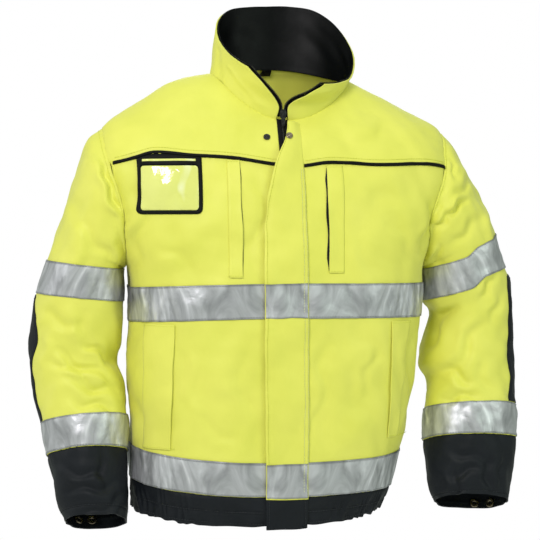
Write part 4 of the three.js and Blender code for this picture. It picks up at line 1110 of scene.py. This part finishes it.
def sewCollar(thread, u, v, lift):
    u, v = np.broadcast_arrays(np.asarray(u, float), np.asarray(v, float))
    out = collarOut(u, v)
    sew(thread, collarSkin(u, v) + out * np.reshape(collarPush(u, v) + lift, (-1, 1)), out)


sewCollar("yellowThread", line(0.02, 0.98, 160), 0.92, 0.1)
sewCollar("yellowThread", line(0.02, 0.98, 160), 0.07, 0.1)

neckTab = {"grid": (10, 14), "size": (14, 24), "wall": 1.0, "flat": (16, 14)}


def tabShape(u, v):
    x = mix(-7, 7, u)
    a = math.pi - np.arctan((x - 5) / 100)
    s = mix(0.06, 0.62, v)
    out = bodyOut(a, s)
    rise = -6.4 - 0.9 * np.sin(v * math.pi)
    return bodySkin(a, s) + out * np.reshape(rise, (-1, 1)) + np.array([0, 0, 4.0]), out


tab = makeCloth("neck_tab_cloth", "neck_tab", neckTab, tabShape, "darkLining")
print("stage: collar made")

# Storm flap
flapShape = table("drop free sewn lift", [
    [72, 6, 25, 6], [86, 4, 25, 7], [101, -1.6, 25, 7.6], [112, -7.5, 25, 7.4], [124, -13, 25.5, 7],
    [144, -21, 26, 6.3], [176, -29, 26.5, 5.8], [213, -33.5, 27, 5.4], [250, -36, 28, 5],
    [306, -36, 29, 4.6], [420, -35, 30, 4.4], [569, -33, 30, 4.4], [670, -32, 30, 4.4],
])
flapCloth = {"grid": (30, 150), "size": (62, 552), "wall": 2.4, "flat": (67, 572, 33600)}
flapHemCloth = {"grid": (30, 16), "size": (62, 48), "wall": 2.4, "flat": (63, 42)}


def flapSpot(u, z):
    row = readTable(flapShape, -z)
    x = mix(row["free"], row["sewn"], u)
    point, out = frontSkin(x, z)
    sewn = mix(0.2, 1.5, smooth(-118, -140, z))
    lift = mix(row["lift"], sewn, np.clip(u, 0, 1) ** 1.4)
    return point, out, lift


def flapPanel(top, low, first, last, thick, extra):
    def shape(u, v):
        across = mix(first, last, u)
        z = mix(top, low, v)
        point, out, lift = flapSpot(across, z)
        flush = (1 - smooth(-118, -140, z)) * smooth(0.5, 1.0, across)
        rise = lift + thick * (1 - 0.8 * flush) + extra(across, z) * (1 - 0.7 * flush)
        return point + out * np.reshape(rise, (-1, 1)), out

    return shape


def flapSoft(u, z):
    edge = -1.1 * np.exp(-((u / 0.035) ** 2)) - 1.0 * np.exp(-(((1 - u) / 0.035) ** 2))
    rows = -0.45 * np.exp(-(((u - 0.11) / 0.025) ** 2)) - 0.45 * np.exp(-(((u - 0.89) / 0.025) ** 2))
    soft = 0.7 * np.sin(z / 29.0 + 1.4 * np.sin(z / 71.0)) * np.sin(u * math.pi)
    sides = np.exp(-((u / 0.12) ** 2)) + np.exp(-(((1 - u) / 0.12) ** 2))
    pucker = 0.25 * np.sin(z / 2.6 + 2 * np.sin(z / 15.0)) * sides
    return edge + rows + soft + pucker


flap = makeCloth("storm_flap_cloth", "storm_flap", flapCloth,
                 flapPanel(-72, -623.6, 0, 1, 2.4, flapSoft), "yellowShell")
flapHem = makeCloth("storm_flap_hem_cloth", "storm_flap_hem", flapHemCloth,
                    flapPanel(-624.4, -672, 0, 1, 2.4, flapSoft), "darkShell")
for band, top, low in (("chest", -306.5, -357.5), ("hem", -571, -621.5)):
    spec = {"grid": (40, 24), "size": (60, 50), **tapeCloth}
    tape = makeCloth(f"tape_{band}_flap_cloth", f"tape_{band}_flap", spec,
                     flapPanel(top, low, 0.015, 0.985, 3.3,
                               lambda u, z, top=top: flapSoft(u, z) + 0.7 * crumple(u * 62, np.clip(top - z, 0, 50))),
                     "reflectiveTape")


def sewFlap(thread, u, z, lift=2.3):
    u, z = np.broadcast_arrays(np.asarray(u, float), np.asarray(z, float))
    point, out, rise = flapSpot(u, z)
    sew(thread, point + out * np.reshape(rise + lift + flapSoft(u, z), (-1, 1)), out)


sewFlap("yellowThread", 0.06, line(-78, -623, 200), 2.6)
for u in (0.9, 0.985):
    sewFlap("paleThread", u, line(-140, -623, 190), 3.2)
for u in (0.07, 0.93):
    sewFlap("darkThread", u, line(-626, -668, 30), 2.6)
print("stage: flap made")

# Zip
zipCloth = {"grid": (8, 150), "size": (16.4, 600), "wall": 1.2, "flat": (16.4, 608)}


def zipShape(u, v):
    s = mix(0.0, 11.9, v)
    x = mix(zipEdge["right"] + 0.3, zipEdge["left"] - 0.3, u)
    a = angleAtX(x, s)
    out = bodyOut(a, s)
    return bodySkin(a, s) - out * 0.5, out


zipBand = makeCloth("zip_closed_cloth", "zip_closed", zipCloth, zipShape, "zipTape")
openZip = {"grid": (8, 30), "size": (9, 92), "wall": 1.0, "flat": {"right": (10, 93, 765), "left": (10, 85, 608)}}


def openPlace(side, u, v):
    across = mix(-0.0065, 0.012, u)
    return (across if side == "right" else 1 - across), mix(1.0, 0.02, v)


def openShape(side):
    def shape(u, v):
        across, down = openPlace(side, u, v)
        held = np.clip(across, 0, 1)
        out = collarOut(held, down)
        inner = collarSkin(np.full(u.shape, 0.012 if side == "right" else 0.988), down)
        rim = collarSkin(np.full(u.shape, 0.0 if side == "right" else 1.0), down)
        beyond = unit(rim - inner) * 3.2
        point = np.where((u < 0.35)[:, None], rim + beyond * (1 - u / 0.35)[:, None],
                         mix(rim, inner, ((u - 0.35) / 0.65)[:, None]))
        return point - out * 4.6, out

    return shape


for side in ("right", "left"):
    strip = makeCloth(f"zip_open_{side}_cloth", f"zip_open_{side}", openZip, openShape(side), "zipTape")

teeth = {"pitch": 2.0, "size": (2.6, 1.3, 1.5)}


def blockRun(bm, point, out, pitch, size, shift=0.0):
    steps = np.linalg.norm(np.diff(point, axis=0), axis=1)
    along = np.concatenate([[0], np.cumsum(steps)])
    at = np.arange(pitch / 2 + shift, along[-1], pitch)
    centre = np.stack([np.interp(at, along, point[:, n]) for n in range(3)], 1)
    ahead = np.stack([np.interp(at + 0.5, along, point[:, n]) for n in range(3)], 1)
    behind = np.stack([np.interp(at - 0.5, along, point[:, n]) for n in range(3)], 1)
    up = unit(np.stack([np.interp(at, along, out[:, n]) for n in range(3)], 1))
    run = unit(ahead - behind)
    cross = unit(np.cross(up, run))
    up = np.cross(run, cross)
    for c, x, y, z in zip(centre, run, cross, up):
        turn = Matrix((x * size[0], y * size[1], z * size[2])).transposed().to_4x4()
        bmesh.ops.create_cube(bm, size=mm, matrix=Matrix.Translation(c * mm) @ turn)


def joined(parts, name):
    whole = bmesh.new()
    for part in parts:
        mesh = bpy.data.meshes.new("part")
        part.to_mesh(mesh)
        part.free()
        whole.from_mesh(mesh)
        bpy.data.meshes.remove(mesh)
    mesh = bpy.data.meshes.new(name)
    whole.to_mesh(mesh)
    whole.free()
    return mesh


zipParts = []
for n, shift in enumerate((0.0, 1.0)):
    z = line(-62, -655, 220)
    point, out = frontSkin(-0.9 + 1.0 * n + 0 * z, z, 0.6)
    part = bmesh.new()
    blockRun(part, point, out, teeth["pitch"], (1.1, 3.0, 1.5), shift)
    zipParts.append(part)
for side in ("right", "left"):
    u, v = np.zeros(60), line(0.0, 1.0)
    point, out = openShape(side)(u, v)
    part = bmesh.new()
    blockRun(part, point - out * 0.5, out, teeth["pitch"], (1.1, 2.6, 1.8))
    zipParts.append(part)
zipTeeth = setPiece("zip_teeth", joined(zipParts, "zip_teeth"), "darkMetal", [])
for name in ("zip_slider", "zip_pull"):
    bpy.data.objects[name].data.materials.clear()
    bpy.data.objects[name].data.materials.append(looks["darkMetal"])
print("stage: zip made")

# Piping
piping = {
    "half": 2.6, "rise": 2.4, "ends": {"right": (-249, -12), "left": (27, 250)},
    "flat": {"right": (249, 10, 1967), "left": (241, 10, 1864)},
}
for side in ("right", "left"):
    start, stop = piping["ends"][side]
    spec = {"grid": (120, 10), "size": (stop - start, 7), "wall": 0.9}

    def pipeShape(u, v):
        x, w = mix(start, stop, u), 1 - 2 * v
        z = readTable(pipeLine, x)["z"] + w * piping["half"]
        end = smooth(0, 0.012, u) * smooth(0, 0.012, 1 - u)
        rise = 0.9 + piping["rise"] * np.sqrt(np.maximum(1 - w * w, 0)) * (0.35 + 0.65 * end)
        rise = rise + 0.15 * np.sin(x / 7.0)
        return frontSkin(x, z, rise)

    pipe = makeCloth(f"piping_{side}_cloth", f"piping_{side}", spec, pipeShape, "blackTrim")
    x = line(start + 2, stop - 2, 120)
    sewFront("yellowThread", x, readTable(pipeLine, x)["z"] + 7.5, 0.3)
print("stage: piping made")

# Pockets
pocketTable = {  # slit top and low, sewn edge top and low, top, low, slit lift, painted slit shadow width
    "chest_pocket_right": (-69, -67, -88, -87, -127.5, -298, 1.4, 1.1),
    "chest_pocket_left": (60, 61, 84, 84, -135, -292, 1.8, 2.6),
    "side_pocket_right": (-163, -169, -207, -207, -367, -552, 1.6, 0),
    "side_pocket_left": (159, 156, 194, 173, -365, -540, 1.8, 0),
}
for name, (slit, slitLow, sewn, sewnLow, top, low, lift, slitShadowWidth) in pocketTable.items():
    spec = {"grid": (14, 60), "size": (abs(slit - sewn), top - low), "wall": 1.2}

    def pocketShape(u, v):
        z = mix(top, low, v)
        edge = mix(slit, slitLow, v)
        x = mix(edge, mix(sewn, sewnLow, v), u)
        bow = np.sin(v * math.pi)
        wave = 0.8 * np.sin(v * 11 + 1) * (1 - u) * bow
        rise = 2.1 + (lift + 0.8) * bow * (1 - u) ** 2 + 0.35 * wave
        rise = rise - 1.3 * np.exp(-(((1 - u) * spec["size"][0] / 1.6) ** 2))
        return frontSkin(x + wave, z, rise)

    pocket = makeCloth(f"{name}_cloth", name, spec, pocketShape, "yellowShell")
    v = line(0.01, 0.99)
    inner = math.copysign(3, slit - sewn)
    sewFront("yellowThread", mix(sewn, sewnLow, v) + inner, mix(top, low, v), 1.6)
    sewFront("yellowThread", line(sewn, slit, 12), np.full(12, low + 2.5), 2.1)
    sewFront("yellowThread", line(sewn, slit, 12), np.full(12, top - 2.5), 2.1)

    # Painted shadow of a chest pocket's opening: a thin dark cloth strip laid beside the slit
    if not slitShadowWidth:
        continue
    slitShadowSpec = {"grid": (6, 60), "size": (11, (top - low) * 0.96), "wall": 0.3}

    def slitShadowShape(u, v):
        w = mix(0.02, 0.98, v)
        z = mix(top, low, w)
        toward = math.copysign(1, slit - sewn)
        wave = 0.8 * np.sin(w * 11 + 1) * np.sin(w * math.pi)
        showing = slitShadowWidth * np.minimum(1, 2.4 * np.sin(w * math.pi)) * (1 + 0.25 * np.sin(w * 17))
        x = mix(slit, slitLow, w) + wave + toward * (showing - 11 * u)
        return frontSkin(x, z, 0.7)

    slitShadow = makeCloth(f"{name}_gap", name, slitShadowSpec, slitShadowShape, "darkShell")
print("stage: pockets made")

# Card holder
card = {
    "outer": (-218, -124, -206, -116, 8), "inner": (-212.5, -129.5, -200.5, -135.5, 5),
    "slit": (-209, -133, -129.6, -126.4),
}


def roundedLoop(box, share):
    x0, x1, z0, z1, radius = box
    halfX, halfZ = (x1 - x0) / 2, (z1 - z0) / 2
    turn = share * 2 * math.pi
    c, k = np.cos(turn), np.sin(turn)
    scale = 1 / np.maximum(np.abs(c), np.abs(k))
    px, pz = c * scale * halfX, k * scale * halfZ
    overX = np.maximum(0, np.abs(px) - (halfX - radius))
    overZ = np.maximum(0, np.abs(pz) - (halfZ - radius))
    over = np.hypot(overX, overZ)
    held = np.where(over > radius, radius / np.maximum(over, 1e-6), 1)
    x = (x0 + x1) / 2 + np.sign(px) * (np.abs(px) - overX + overX * held)
    z = (z0 + z1) / 2 + np.sign(pz) * (np.abs(pz) - overZ + overZ * held)
    return x, z


holderFrame = {"grid": (200, 16), "size": (340, 8), "wall": 0.9, "flat": (94, 86, 3000)}


def frameShape(u, v):
    outerX, outerZ = roundedLoop(card["outer"], u)
    innerX, innerZ = roundedLoop(card["inner"], u)
    x, z = mix(outerX, innerX, v), mix(outerZ, innerZ, v)
    z = np.minimum(z, readTable(pipeLine, x)["z"] - 2.7)
    rise = 1.1 + 1.9 * np.sin(np.clip(v, 0, 1) * math.pi) ** 0.6
    return frontSkin(x, z, rise)


holder = makeCloth("card_holder_frame_cloth", "card_holder_frame", holderFrame, frameShape, "blackTrim",
                   around=True)
windowFilm = {"grid": (48, 34), "size": (82, 61), "wall": 0.5, "flat": (82, 64)}


def windowShape(u, v):
    x0, x1, z0, z1, radius = card["inner"]
    z = mix(z1 - 0.4, z0 + 0.4, v)
    rise = np.minimum(z - z0, z1 - z)
    cut = np.where(rise < radius, radius - np.sqrt(np.maximum(radius ** 2 - (radius - rise) ** 2, 0)), 0)
    x = mix(x0 + 0.4 + cut, x1 - 0.4 - cut, u)
    bulge = 0.9 * np.sin(u * math.pi) * np.sin(v * math.pi)
    wave = 0.35 * np.sin(u * 9 + 3 * v) * np.sin(v * 7 + 1)
    return frontSkin(x, z, 1.6 + bulge + wave)


window = makeCloth("card_holder_window_film", "card_holder_window", windowFilm, windowShape, "cardWindow")
# The slit strip uses the window film finish, painted reflection included
slitLine = {"grid": (40, 4), "size": (76, 2), "wall": 0.3}
slit = makeCloth("card_holder_slit", "card_holder_frame", slitLine,
                 lambda u, v: frontSkin(mix(card["slit"][0], card["slit"][1], u),
                                        mix(card["slit"][2], card["slit"][3], v), 3.1), "cardWindow")
print("stage: card holder made")

# Studs
def stud(name, node, spot, out, profile, look, rise=0.0):
    bm = bmesh.new()
    start = [bm.verts.new((r * mm, 0, h * mm)) for r, h in profile]
    edges = [bm.edges.new(pair) for pair in zip(start, start[1:])]
    bmesh.ops.spin(bm, geom=start + edges, cent=(0, 0, 0), axis=(0, 0, 1), angle=2 * math.pi, steps=36, use_merge=True)
    bmesh.ops.remove_doubles(bm, verts=bm.verts, dist=1e-6)
    bmesh.ops.recalc_face_normals(bm, faces=bm.faces)
    turn = Vector(out).to_track_quat("Z", "Y").to_matrix().to_4x4()
    bm.transform(Matrix.Translation(Vector((spot + out * rise) * mm)) @ turn)
    mesh = bpy.data.meshes.new(name)
    bm.to_mesh(mesh)
    bm.free()
    return setPiece(name, mesh, look, [node])


studRing = [(0, 0), (5, 0), (5.2, 0.6), (4.9, 1.4), (4.2, 1.9), (3.4, 1.8), (2.9, 1.2), (2.4, 1.0), (2.0, 1.5),
            (1.2, 2.0), (0, 2.1)]
cuffRing = [(2.6, 0), (7, 0), (7.2, 0.7), (6.8, 1.5), (6.0, 1.9), (4.6, 1.8), (3.6, 1.5), (2.8, 0.9), (2.6, 0)]
spot, out = frontSkin(np.array([-26.0]), np.array([-93.0]))
stud("snap_front_stud", "snap_front", spot[0], out[0], studRing, "darkMetal", 0.7)
point, out, lift = flapSpot(np.array([0.24]), np.array([-95.0]))
stud("snap_flap_stud", "snap_flap", point[0] + out[0] * (lift[0] + 2.4), out[0], studRing, "oldBrass", 0.8)
for name, side, turn in (("right_outer", "right", -62), ("right_inner", "right", -88),
                         ("left_inner", "left", -72), ("left_outer", "left", -46)):
    t, phi = np.array([15.5]), np.array([turn * degree])
    outward = sleeveOut(side, t, phi)[0]
    spot = sleeveSkin(side, t, phi)[0]
    stud(f"snap_cuff_{name}_stud", f"snap_cuff_{name}", spot, -outward, cuffRing, "oldBrass", 3.4)
print("stage: studs made")

# Sewing
stitch = {"pitch": 4.2, "size": (2.9, 0.6, 0.55)}
for thread, runs in threads.items():
    parts = []
    for point, out in runs:
        part = bmesh.new()
        blockRun(part, point, out, stitch["pitch"], stitch["size"])
        parts.append(part)
    setPiece(f"sewing_{thread}", joined(parts, thread), thread, [])
print("stage: sewing made")

count = sum(len(o.evaluated_get(bpy.context.evaluated_depsgraph_get()).data.loop_triangles) for o in made.values())
print("pieces", len(made), "triangles", count)
